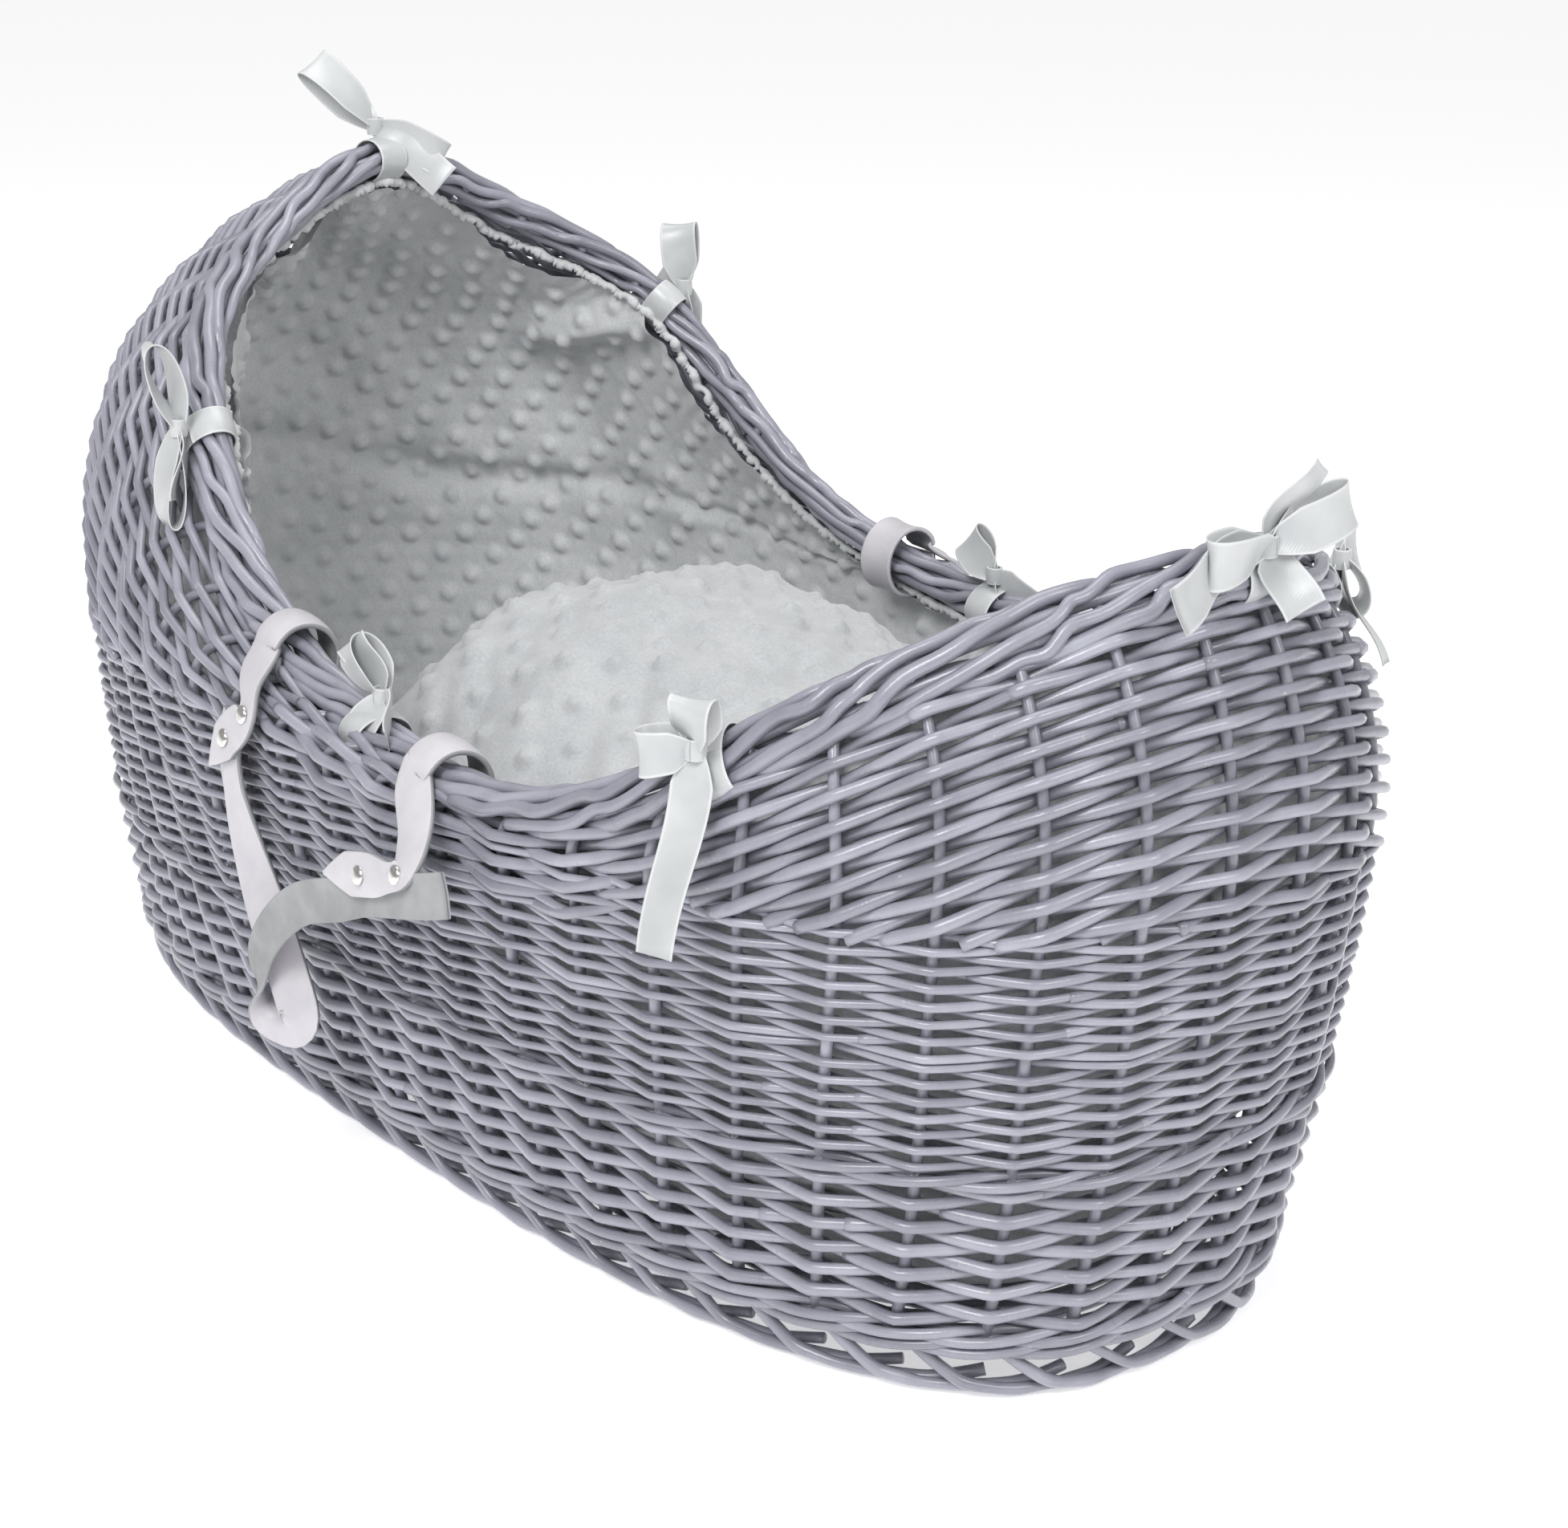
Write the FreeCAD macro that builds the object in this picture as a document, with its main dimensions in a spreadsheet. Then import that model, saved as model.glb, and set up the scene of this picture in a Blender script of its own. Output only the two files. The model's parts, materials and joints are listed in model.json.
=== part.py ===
"""Wicker moses basket with a hood, a raised foot end, two strap handles and soft bedding.

+X runs to the foot end, -X to the hood, -Y is the near side and +Z is up.
The origin is on the floor plane, under the middle of the belly.
"""
import FreeCAD, Part
import Sketcher
import math
import os
from FreeCAD import Placement, Rotation, Vector

doc = FreeCAD.newDocument("moses_basket")

# ---------------------------------------------------------------- driving dimensions
DIMENSIONS = [
    # wall of the basket: half lengths, half widths and the offset of each oval's centre
    ("base_half_length", 400, "oval of the foot ring"),
    ("base_half_width", 161, ""),
    ("base_shift", -23, "the base oval sits a little towards the hood"),
    ("base_squareness", 2.84, "superellipse exponent"),
    ("waist_half_length", 411, "oval half way up the side wall"),
    ("waist_half_width", 197, ""),
    ("waist_shift", -9, ""),
    ("belly_half_length", 420, "oval at the shoulder line"),
    ("belly_half_width", 221, ""),
    ("belly_squareness", 2.43, ""),
    ("shoulder_height", 231, "height of the shoulder line above the floor"),
    ("wall_fullness", 0.66, "how far the wall carries on before it turns in to the rim"),
    ("hood_reach", 0.35, "how far the hood's back bulges behind the rim"),
    ("hood_dip", -0.067, ""),
    # rim, from the middle of the foot end round one side to the top of the hood
    ("rim_length_a", 371, ""), ("rim_width_a", 0, ""), ("rim_height_a", 382, "foot end, middle"),
    ("rim_length_b", 289, ""), ("rim_width_b", 146, ""), ("rim_height_b", 326, ""),
    ("rim_length_c", 173, ""), ("rim_width_c", 187, ""), ("rim_height_c", 257, "lowest part of the side"),
    ("rim_length_d", 29, ""), ("rim_width_d", 179, ""), ("rim_height_d", 250, ""),
    ("rim_length_e", -99, ""), ("rim_width_e", 176, ""), ("rim_height_e", 302, ""),
    ("rim_length_f", -194, ""), ("rim_width_f", 143, ""), ("rim_height_f", 399, ""),
    ("rim_length_g", -238, ""), ("rim_width_g", 67, ""), ("rim_height_g", 450, ""),
    ("rim_length_top", -244, ""), ("rim_width_top", 0, ""), ("rim_height_top", 476, "hood, middle"),
    # wicker
    ("weave_thickness", 8, "thickness of the woven wall outside the stakes"),
    ("stake_count", 48, "upright rods"),
    ("stake_diameter", 5.2, ""),
    ("stake_gap", 0.3, "air between a stake and the weave"),
    ("foot_ring_height", 9, ""),
    ("foot_ring_width", 10, ""),
    ("foot_gap", 24, "floor to the underside of the bottom wale"),
    ("wale_height", 12, ""),
    ("wale_proud", 1.5, "how far a wale stands out of the wall"),
    ("second_wale_level", 112, ""),
    ("shoulder_wale_height", 6, ""),
    ("border_height", 30, "rolled border, measured along the wall"),
    ("border_thickness", 17, ""),
    ("stake_end_gap", 12.5, "stakes end this far below the border"),
    ("border_weave_gap", 9.5, "air between the border and the top row of weave"),
    # base
    ("base_weave_level", 24, ""),
    ("base_weave_thickness", 8, ""),
    ("base_stick_diameter", 8, ""),
    ("base_stick_length", 240, ""),
    ("base_stick_count", 9, ""),
    ("base_stick_spacing", 74, ""),
    # bedding
    ("mattress_half_length", 370, ""),
    ("mattress_half_width", 136, ""),
    ("mattress_level", 33, ""),
    ("mattress_thickness", 40, ""),
    ("cover_thickness", 1.5, ""),
    ("liner_thickness", 3, ""),
    ("liner_gap", 1.2, "air between the stakes and the liner"),
    ("liner_hood_slack", 6, "extra air behind the liner under the hood"),
    ("liner_hem_gap", 12, "air between the liner's top edge and its hem"),
    ("hem_diameter", 7, ""),
    ("coverlet_half_width", 138, ""),
    ("coverlet_back", -155, "edge nearest the hood"),
    ("coverlet_fold", 200, "line where the coverlet turns back"),
    ("coverlet_front", 320, "tucked edge under the foot end"),
    ("coverlet_level", 77, "underside of the quilt"),
    ("coverlet_crown", 190, "height of the quilt over its underside"),
    ("coverlet_thickness", 24, "of the quilt itself"),
    ("coverlet_fall", 0.22, "share by which the quilt sinks towards the foot"),
    ("coverlet_taper", 0.2, "share by which it narrows under the foot end"),
    # handles
    ("strap_width", 21, ""),
    ("strap_thickness", 2.4, ""),
    ("strap_drop", 165, "rim to the bottom of the hanging strap"),
    ("strap_lean", 35, "degrees from the loop's top to where the strap leaves it"),
    ("strap_knee_out", 44, "strap's bend over the belly, out from the loop's centre"),
    ("strap_knee_up", -10, ""),
    ("strap_foot_out", 42, "bottom of the hanging strap"),
    ("strap_bend_radius", 34, "inside corner at the bottom of the bow"),
    ("loop_inner_radius", 17.5, ""),
    ("loop_slot_radius", 22.5, "slot in the weave and the liner for the loop"),
    ("hem_slot_radius", 31, "gap in the liner's hem where the strap swings past"),
    ("hem_slot_clearance", 5, ""),
    ("rear_loop_place", 0.2860, "share of the rim from the foot end"),
    ("front_loop_place", 0.2045, ""),
    ("near_loop_shift", 0.0080, "the near handle sits a little nearer the hood"),
    ("far_loop_shift", -0.0080, "and the far one a little nearer the foot"),
    ("rivet_head_diameter", 9, ""),
    ("rivet_head_height", 1.6, ""),
    ("rivet_shank_diameter", 3, ""),
    ("rivet_share_upper", 0.06, "share of the hanging run from the knee"),
    ("rivet_share_lower", 0.16, ""),
    # ribbons
    ("ribbon_width", 22, ""),
    ("ribbon_thickness", 1, ""),
    ("loop_puff", 9, "thickness of a flattened ribbon loop"),
    ("knot_radius", 6, ""),
    ("knot_gap", 4, "air between a knot and the border"),
]

sheet = doc.addObject("Spreadsheet::Sheet", "dimensions")
for row, (alias, number, note) in enumerate(DIMENSIONS, start=1):
    sheet.set("A%d" % row, alias.replace("_", " "))
    sheet.set("B%d" % row, str(number))
    sheet.setAlias("B%d" % row, alias)
    sheet.set("C%d" % row, note)
doc.recompute()


def dim(alias):
    """A driving dimension, read back from the sheet."""
    return float(sheet.get(alias))


# ---------------------------------------------------------------- curves on the wall
RING_SAMPLES = 720
MERIDIAN_SAMPLES = 30
FULL_TURN = 2 * math.pi


def with_lengths(points):
    """A polyline together with the distance run at each of its points."""
    runs = [0.0]
    for before, after in zip(points, points[1:]):
        runs.append(runs[-1] + (after - before).Length)
    return points, runs


def at_share(line, share):
    """The point a given share of the way along a measured polyline."""
    points, runs = line
    target = min(max(share, 0.0), 1.0) * runs[-1]
    low, high = 0, len(runs) - 1
    while high - low > 1:
        middle = (low + high) // 2
        if runs[middle] <= target:
            low = middle
        else:
            high = middle
    step = runs[high] - runs[low]
    part = (target - runs[low]) / step if step > 0 else 0.0
    return points[low] + (points[high] - points[low]) * part


def through_three(start, middle, end, level):
    """Quadratic through three values at levels 0, 0.5 and 1."""
    return (start * (level - 0.5) * (level - 1) / 0.5
            - middle * level * (level - 1) / 0.25
            + end * level * (level - 0.5) / 0.5)


def signed_power(value, exponent):
    return math.copysign(abs(value) ** exponent, value)


def make_oval(level):
    """Closed oval of the side wall at a level from 0 (floor) to 1 (shoulder)."""
    half_length = through_three(dim("base_half_length"), dim("waist_half_length"),
                                dim("belly_half_length"), level)
    half_width = through_three(dim("base_half_width"), dim("waist_half_width"),
                               dim("belly_half_width"), level)
    shift = through_three(dim("base_shift"), dim("waist_shift"), 0.0, level)
    squareness = (dim("base_squareness") * (1 - level) + dim("belly_squareness") * level)
    height = level * dim("shoulder_height")
    points = []
    for step in range(RING_SAMPLES + 1):
        angle = FULL_TURN * step / RING_SAMPLES
        points.append(Vector(shift + half_length * signed_power(math.cos(angle), 2 / squareness),
                             half_width * signed_power(math.sin(angle), 2 / squareness),
                             height))
    return with_lengths(points)


def make_rim():
    """Closed rim curve: one measured side and its mirror image."""
    half = [Vector(dim("rim_length_" + key), dim("rim_width_" + key), dim("rim_height_" + key))
            for key in ("a", "b", "c", "d", "e", "f", "g", "top")]
    mirrored = [Vector(point.x, -point.y, point.z) for point in reversed(half[1:-1])]
    curve = Part.BSplineCurve()
    curve.interpolate(half + mirrored, PeriodicFlag=True)
    points = curve.discretize(Number=RING_SAMPLES)
    if points[1].y < 0:
        points.reverse()
    return with_lengths(points)


ovals = {}
RIM = make_rim()
LAST_LEVEL = 7 / 8
meridians = {}


def oval(level):
    key = round(level, 5)
    if key not in ovals:
        ovals[key] = make_oval(key)
    return ovals[key]


def upward_curve(turn, start, direction, end):
    """Line that leaves the shoulder along the wall and turns in towards the rim."""
    reach = (end - start).Length
    hood = max(-math.cos(FULL_TURN * turn), 0.0)
    control_low = start + direction * (reach * dim("wall_fullness"))
    control_high = end + Vector(-dim("hood_reach") * reach * hood, 0, dim("hood_dip") * reach * hood)
    points = []
    for step in range(MERIDIAN_SAMPLES + 1):
        share = step / MERIDIAN_SAMPLES
        points.append(start * (1 - share) ** 3
                      + control_low * (3 * share * (1 - share) ** 2)
                      + control_high * (3 * share ** 2 * (1 - share))
                      + end * share ** 3)
    return with_lengths(points)


def wall_direction(turn):
    """Direction in which the wall climbs as it reaches the shoulder."""
    return (at_share(oval(1.0), turn) - at_share(oval(LAST_LEVEL), turn)).normalize()


def meridian(turn):
    """Upper wall from the shoulder to the rim at one place round the basket."""
    key = round(turn % 1.0, 6)
    if key not in meridians:
        meridians[key] = upward_curve(key, at_share(oval(1.0), key), wall_direction(key),
                                      at_share(RIM, key))
    return meridians[key]


def meridian_length(turn):
    return meridian(turn)[1][-1]


def wall_point(turn, level):
    """Outer face of the wall: level 0 floor, 1 shoulder, 2 rim."""
    if level <= 1.0:
        return at_share(oval(max(level, 0.0)), turn % 1.0)
    return at_share(meridian(turn), level - 1.0)


def wall_normal(turn, level):
    """Outward normal of the wall."""
    turn_step = 0.003
    level_step = 0.04
    around = wall_point(turn + turn_step, level) - wall_point(turn - turn_step, level)
    low = max(level - level_step, 0.0)
    high = min(level + level_step, 2.0)
    up = wall_point(turn, high) - wall_point(turn, low)
    return around.cross(up).normalize()


def inset_point(turn, level, depth):
    """A point a given depth inside the wall's outer face."""
    return wall_point(turn, level) - wall_normal(turn, level) * depth


def level_below_rim(turn, distance):
    """The level that lies a distance down the wall from the rim."""
    length = meridian_length(turn)
    if distance <= length:
        return 2.0 - distance / length
    return 1.0 - (distance - length) / dim("shoulder_height")


def plan_inset(level, turn, depth):
    """Point of an oval, moved in by a depth in plan."""
    line = oval(level)
    step = 0.002
    along = at_share(line, (turn + step) % 1.0) - at_share(line, (turn - step) % 1.0)
    return at_share(line, turn % 1.0) - Vector(along.y, -along.x, 0).normalize() * depth


def plan_inset_oval(level, depth, count):
    """Whole oval, moved in by a depth in plan, as a closed smooth wire."""
    points = [plan_inset(level, step / count, depth) for step in range(count)]
    curve = Part.BSplineCurve()
    curve.interpolate(points, PeriodicFlag=True)
    return Part.Wire(curve.toShape())


# ---------------------------------------------------------------- solid makers
OVAL_POINTS = 64


def oval_band(bottom, top, outer_depth, inner_depth, sections):
    """Ring-shaped wall between two heights, bounded by two inset depths."""
    height = dim("shoulder_height")
    levels = [(bottom + (top - bottom) * step / (sections - 1)) / height for step in range(sections)]
    outer = Part.makeLoft([plan_inset_oval(level, outer_depth, OVAL_POINTS) for level in levels], True)
    inner = Part.makeLoft([plan_inset_oval(level, inner_depth, OVAL_POINTS) for level in levels], True)
    return outer.cut(inner)


def panel_between(turn_low, turn_high, outer_place, inner_place, columns, rows):
    """Curved panel between two turns, closed from its outer and its inner face."""
    turns = [turn_low + (turn_high - turn_low) * step / (columns - 1) for step in range(columns)]
    shares = [step / (rows - 1) for step in range(rows)]
    faces = []
    borders = []
    for place in (outer_place, inner_place):
        surface = Part.BSplineSurface()
        surface.interpolate([[place(turn, share) for share in shares] for turn in turns])
        first_u, last_u, first_v, last_v = surface.bounds()
        faces.append(surface.toShape())
        borders.append([surface.uIso(first_u), surface.vIso(last_v),
                        surface.uIso(last_u), surface.vIso(first_v)])
    for outer_edge, inner_edge in zip(*borders):
        faces.append(Part.makeRuledSurface(outer_edge.toShape(), inner_edge.toShape()))
    shell = Part.makeShell(faces)
    shell.sewShape()
    solid = Part.makeSolid(shell)
    if solid.Volume < 0:
        solid.reverse()
    return solid


def round_section(centre, direction, radius):
    return Part.Wire(Part.makeCircle(radius, centre, direction))


def rod(points, radius):
    """Round rod along a run of points, with a flat section at each."""
    sections = []
    for step, centre in enumerate(points):
        before = points[max(step - 1, 0)]
        after = points[min(step + 1, len(points) - 1)]
        sections.append(round_section(centre, after - before, radius))
    return Part.makeLoft(sections, True, True)


def border_section(turn):
    """Oval section of the rolled border at one place on the rim."""
    level = level_below_rim(turn, dim("border_height") / 2)
    normal = wall_normal(turn, level)
    centre = border_centre(turn)
    ahead = border_centre(turn + 0.004) - border_centre(turn - 0.004)
    across = ahead.cross(normal).normalize()
    ellipse = Part.Ellipse(centre + across * (dim("border_height") / 2),
                           centre + normal * (dim("border_thickness") / 2), centre)
    return Part.Wire(ellipse.toShape())


def border_centre(turn):
    level = level_below_rim(turn, dim("border_height") / 2)
    return inset_point(turn, level, dim("border_thickness") / 4)


def feature(label, shape):
    """Document object that carries one sub-part worked out on the wall surface."""
    item = doc.addObject("Part::Feature", label)
    item.Label = label
    item.Shape = shape
    item.Placement = Placement(Vector(0, 0, 0), Rotation(0, 0, 0, 1))
    nodes.append(item)
    return item


def compound(label, shapes):
    return feature(label, Part.makeCompound(shapes))


nodes = []
STAKE_COUNT = int(dim("stake_count"))
STAKE_RADIUS = dim("stake_diameter") / 2
WEAVE = dim("weave_thickness")
STAKE_DEPTH = WEAVE + dim("stake_gap") + STAKE_RADIUS
LINER_DEPTH = WEAVE + dim("stake_gap") + dim("stake_diameter") + dim("liner_gap")
LINER_INNER_DEPTH = LINER_DEPTH + dim("liner_thickness")
BORDER_CLEARANCE = 1.0
SHOULDER = dim("shoulder_height")

# ---------------------------------------------------------------- strap loop places
SIDES = {"far": 1, "near": -1}


def loop_centres(side):
    """Centres of a handle's rear and front loops, on the middle line of the border."""
    places = [dim(key) + dim(side + "_loop_shift") for key in ("rear_loop_place", "front_loop_place")]
    return [border_centre(place * SIDES[side] % 1.0) for place in places]


def hinge_direction(side):
    rear, front = loop_centres(side)
    return (front - rear).normalize()


SLOT_SIDES = 12


def loop_slots(clear_radius, clearance):
    """Many-sided prisms that clear the weave and the liner round each strap loop."""
    width = dim("strap_width") + 2 * clearance
    radius = clear_radius / math.cos(FULL_TURN / 2 / SLOT_SIDES)
    slots = []
    for side in SIDES:
        direction = hinge_direction(side)
        across = direction.cross(Vector(0, 0, 1)).normalize()
        upright = across.cross(direction)
        for centre in loop_centres(side):
            start = centre - direction * (width / 2)
            corners = [start + across * (radius * math.cos(FULL_TURN * step / SLOT_SIDES))
                       + upright * (radius * math.sin(FULL_TURN * step / SLOT_SIDES))
                       for step in range(SLOT_SIDES)]
            slots.append(Part.Face(Part.makePolygon(corners + corners[:1])).extrude(direction * width))
    return slots


SLOTS = loop_slots(dim("loop_slot_radius"), BORDER_CLEARANCE)
HEM_SLOTS = loop_slots(dim("hem_slot_radius"), dim("hem_slot_clearance"))


def with_slots(shape, slots=SLOTS):
    for slot in slots:
        shape = shape.cut(slot)
    return shape


# ---------------------------------------------------------------- wicker shell
feature("foot_ring", oval_band(0, dim("foot_ring_height"), 0, dim("foot_ring_width"), 2))


def foot_leg(number):
    """Short end of a stake that runs down and forward into the foot ring."""
    spacing = 1 / STAKE_COUNT
    depth = dim("foot_ring_width") / 2
    bottom = plan_point(number * spacing, dim("foot_ring_height"), depth)
    top = plan_point((number + 0.7) * spacing, dim("foot_gap"), depth)
    up = Vector(0, 0, 1)
    return Part.makeLoft([round_section(bottom, up, STAKE_RADIUS),
                          round_section(top, up, STAKE_RADIUS)], True, True)


def plan_point(turn, height, depth):
    point = inset_point(turn, height / SHOULDER, depth)
    return Vector(point.x, point.y, height)


compound("foot_legs", [foot_leg(number) for number in range(STAKE_COUNT)])

wale_top = dim("foot_gap") + dim("wale_height")
second_wale_top = dim("second_wale_level") + dim("wale_height")
shoulder_wale_bottom = SHOULDER - dim("shoulder_wale_height")
proud = -dim("wale_proud")
feature("bottom_wale", oval_band(dim("foot_gap"), wale_top, proud, WEAVE, 2))
feature("lower_wall_weave", oval_band(wale_top, dim("second_wale_level"), 0, WEAVE, 4))
feature("second_wale", oval_band(dim("second_wale_level"), second_wale_top, proud, WEAVE, 2))
feature("upper_wall_weave",
        with_slots(oval_band(second_wale_top, shoulder_wale_bottom, 0, WEAVE, 5)))
base_bottom = dim("base_weave_level")
base_levels = (base_bottom, base_bottom + dim("base_weave_thickness"))
feature("base_weave", Part.makeLoft([plan_inset_oval(height / SHOULDER, LINER_DEPTH, OVAL_POINTS)
                                     for height in base_levels], True))
feature("shoulder_wale", with_slots(oval_band(shoulder_wale_bottom, SHOULDER, proud, WEAVE, 2)))


def above_shoulder(turn):
    return 1.0 + 0.6 / meridian_length(turn)


def below_border(turn):
    return level_below_rim(turn, dim("border_height") + dim("border_weave_gap"))


def weave_place(depth):
    """Point of the upper wall by turn and by share of the way up to the border."""
    def place(turn, share):
        low = above_shoulder(turn)
        return inset_point(turn, low + (below_border(turn) - low) * share, depth)
    return place


PATCHES = {
    "foot_end_weave": (-0.140, 0.140, 33),
    "far_side_weave": (0.1405, 0.3195, 25),
    "hood_weave": (0.320, 0.680, 41),
    "near_side_weave": (0.6805, 0.8595, 25),
}
for label, (start, end, columns) in PATCHES.items():
    panel = panel_between(start, end, weave_place(0), weave_place(WEAVE), columns, 9)
    feature(label, with_slots(panel) if "side" in label else panel)


def stake(number):
    """One upright rod, from the bottom wale to just under the border."""
    turn = (number + 0.5) / STAKE_COUNT
    bottom = (dim("foot_gap") + 1) / SHOULDER
    side_levels = [bottom + (1.0 - bottom) * step / 5 for step in range(6)]
    top = level_below_rim(turn, dim("border_height") + dim("stake_end_gap"))
    upper_levels = [1.0 + (top - 1.0) * step / 5 for step in range(1, 6)]
    points = [inset_point(turn, level, STAKE_DEPTH) for level in side_levels + upper_levels]
    return rod(points, STAKE_RADIUS)


compound("stakes", [with_slots(stake(number)) for number in range(STAKE_COUNT)])

BORDER_STATIONS = 40


def border_half(start):
    stations = [start + 0.5 * step / BORDER_STATIONS for step in range(BORDER_STATIONS + 1)]
    return Part.makeLoft([border_section(turn) for turn in stations], True, True)


compound("rim_border", [border_half(0.0), border_half(0.5)])


# ---------------------------------------------------------------- sketches for the flat pieces
def bind(item, path, expression):
    item.setExpression(path, expression)


def new_body(label):
    body = doc.addObject("PartDesign::Body", label)
    body.Label = label
    nodes.append(body)
    return body


def origin_plane(body, role):
    return next(item for item in body.Origin.OriginFeatures if item.Role == role)


def new_sketch(body, name, role="XY_Plane"):
    sketch = body.newObject("Sketcher::SketchObject", name)
    sketch.AttachmentSupport = (origin_plane(body, role), [""])
    sketch.MapMode = "FlatFace"
    return sketch


def draw_slot(sketch, half_length, half_width):
    """Long outline with round ends, centred, sized by two sheet expressions."""
    length, width = 100.0, 40.0
    quarter = math.pi / 2
    right = Part.ArcOfCircle(Part.Circle(Vector(length, 0, 0), Vector(0, 0, 1), width), -quarter, quarter)
    left = Part.ArcOfCircle(Part.Circle(Vector(-length, 0, 0), Vector(0, 0, 1), width), quarter, 3 * quarter)
    top = Part.LineSegment(Vector(length, width, 0), Vector(-length, width, 0))
    bottom = Part.LineSegment(Vector(-length, -width, 0), Vector(length, -width, 0))
    arc_right, arc_left, line_top, line_bottom = sketch.addGeometry([right, left, top, bottom])
    first, last, middle = 1, 2, 3
    sketch.addConstraint([
        Sketcher.Constraint("Tangent", arc_right, last, line_top, first),
        Sketcher.Constraint("Tangent", line_top, last, arc_left, first),
        Sketcher.Constraint("Tangent", arc_left, last, line_bottom, first),
        Sketcher.Constraint("Tangent", line_bottom, last, arc_right, first),
        Sketcher.Constraint("PointOnObject", arc_right, middle, -1),
        Sketcher.Constraint("PointOnObject", arc_left, middle, -1),
        Sketcher.Constraint("Equal", arc_right, arc_left),
    ])
    radius = sketch.addConstraint(Sketcher.Constraint("Radius", arc_right, width))
    bind(sketch, "Constraints[%d]" % radius, half_width)
    reach_right = sketch.addConstraint(Sketcher.Constraint("DistanceX", -1, 1, arc_right, middle, length))
    reach_left = sketch.addConstraint(Sketcher.Constraint("DistanceX", arc_left, middle, -1, 1, length))
    for reach in (reach_right, reach_left):
        bind(sketch, "Constraints[%d]" % reach, "(%s) - (%s)" % (half_length, half_width))


def slot_pad(label, half_length, half_width, thickness, level, shift="dimensions.base_shift"):
    """Flat padded piece with round ends, standing on a level."""
    body = new_body(label)
    sketch = new_sketch(body, label + "_outline")
    draw_slot(sketch, half_length, half_width)
    pad = body.newObject("PartDesign::Pad", label + "_pad")
    pad.Profile = sketch
    bind(pad, "Length", thickness)
    bind(body, "Placement.Base.x", shift)
    bind(body, "Placement.Base.z", level)
    return body


sticks = new_body("base_sticks")
stick_sketch = new_sketch(sticks, "base_stick_section", "XZ_Plane")
stick_circle = stick_sketch.addGeometry(Part.Circle(Vector(0, 0, 0), Vector(0, 0, 1), 4))
stick_sketch.addConstraint(Sketcher.Constraint("PointOnObject", stick_circle, 3, -2))
stick_radius = stick_sketch.addConstraint(Sketcher.Constraint("Radius", stick_circle, 4))
bind(stick_sketch, "Constraints[%d]" % stick_radius, "dimensions.base_stick_diameter / 2")
stick_drop = stick_sketch.addConstraint(Sketcher.Constraint("DistanceY", -1, 1, stick_circle, 3, 4))
bind(stick_sketch, "Constraints[%d]" % stick_drop, "dimensions.base_stick_diameter / 2")
stick_pad = sticks.newObject("PartDesign::Pad", "base_stick_pad")
stick_pad.Profile = stick_sketch
stick_pad.Midplane = True
bind(stick_pad, "Length", "dimensions.base_stick_length")
doc.recompute()
stick_row = sticks.newObject("PartDesign::LinearPattern", "base_stick_row")
stick_row.Originals = [stick_pad]
stick_row.Direction = (stick_sketch, ["H_Axis"])
bind(stick_row, "Length", "(dimensions.base_stick_count - 1) * dimensions.base_stick_spacing")
bind(stick_row, "Occurrences", "dimensions.base_stick_count")
sticks.Tip = stick_row
bind(sticks, "Placement.Base.x",
     "dimensions.base_shift - (dimensions.base_stick_count - 1) * dimensions.base_stick_spacing / 2")
bind(sticks, "Placement.Base.z", "dimensions.base_weave_level - dimensions.base_stick_diameter")

# ---------------------------------------------------------------- bedding
slot_pad("mattress_core", "dimensions.mattress_half_length - 2 * dimensions.cover_thickness",
         "dimensions.mattress_half_width - 2 * dimensions.cover_thickness",
         "dimensions.mattress_thickness - 4 * dimensions.cover_thickness",
         "dimensions.mattress_level + 2 * dimensions.cover_thickness")

cover_form = slot_pad("mattress_cover_form", "dimensions.mattress_half_length",
                      "dimensions.mattress_half_width",
                      "dimensions.mattress_thickness", "dimensions.mattress_level")
cover_space = slot_pad("mattress_cover_space",
                       "dimensions.mattress_half_length - dimensions.cover_thickness",
                       "dimensions.mattress_half_width - dimensions.cover_thickness",
                       "dimensions.mattress_thickness - 2 * dimensions.cover_thickness",
                       "dimensions.mattress_level + dimensions.cover_thickness")
mattress_cover = doc.addObject("Part::Cut", "mattress_cover")
mattress_cover.Label = "mattress_cover"
mattress_cover.Base = cover_form
mattress_cover.Tool = cover_space
nodes.remove(cover_form)
nodes.remove(cover_space)
nodes.append(mattress_cover)

liner_bottom = dim("mattress_level") + 7
feature("liner_lower_band",
        with_slots(oval_band(liner_bottom, SHOULDER - 0.3, LINER_DEPTH, LINER_INNER_DEPTH, 6)))

LINER_PANELS = {
    "liner_foot_far": (0.0005, 0.150, 21),
    "liner_hood": (0.305, 0.695, 45),
    "liner_foot_near": (0.850, 0.9995, 21),
}


def liner_place(depth):
    """Point of the liner above the shoulder by turn and by share of the way up to the hem."""
    def place(turn, share):
        slack = depth + dim("liner_hood_slack") * max(-math.cos(FULL_TURN * turn), 0.0)
        start = plan_inset(1.0, turn, slack) + Vector(0, 0, 0.3)
        end = inset_point(turn, level_below_rim(turn, dim("hem_diameter") + dim("liner_hem_gap")), slack)
        return at_share(upward_curve(turn, start, wall_direction(turn), end), share)
    return place


for label, (start, end, columns) in LINER_PANELS.items():
    feature(label, panel_between(start, end, liner_place(LINER_DEPTH), liner_place(LINER_INNER_DEPTH),
                                 columns, 9))

HEM_STATIONS = 40
hem_radius = dim("hem_diameter") / 2
hem_depth = LINER_DEPTH + dim("liner_thickness") / 2


def hem_half(start):
    points = [inset_point(turn, level_below_rim(turn, hem_radius), hem_depth)
              for turn in (start + 0.5 * step / HEM_STATIONS for step in range(HEM_STATIONS + 1))]
    return with_slots(rod(points, hem_radius), HEM_SLOTS)


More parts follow.
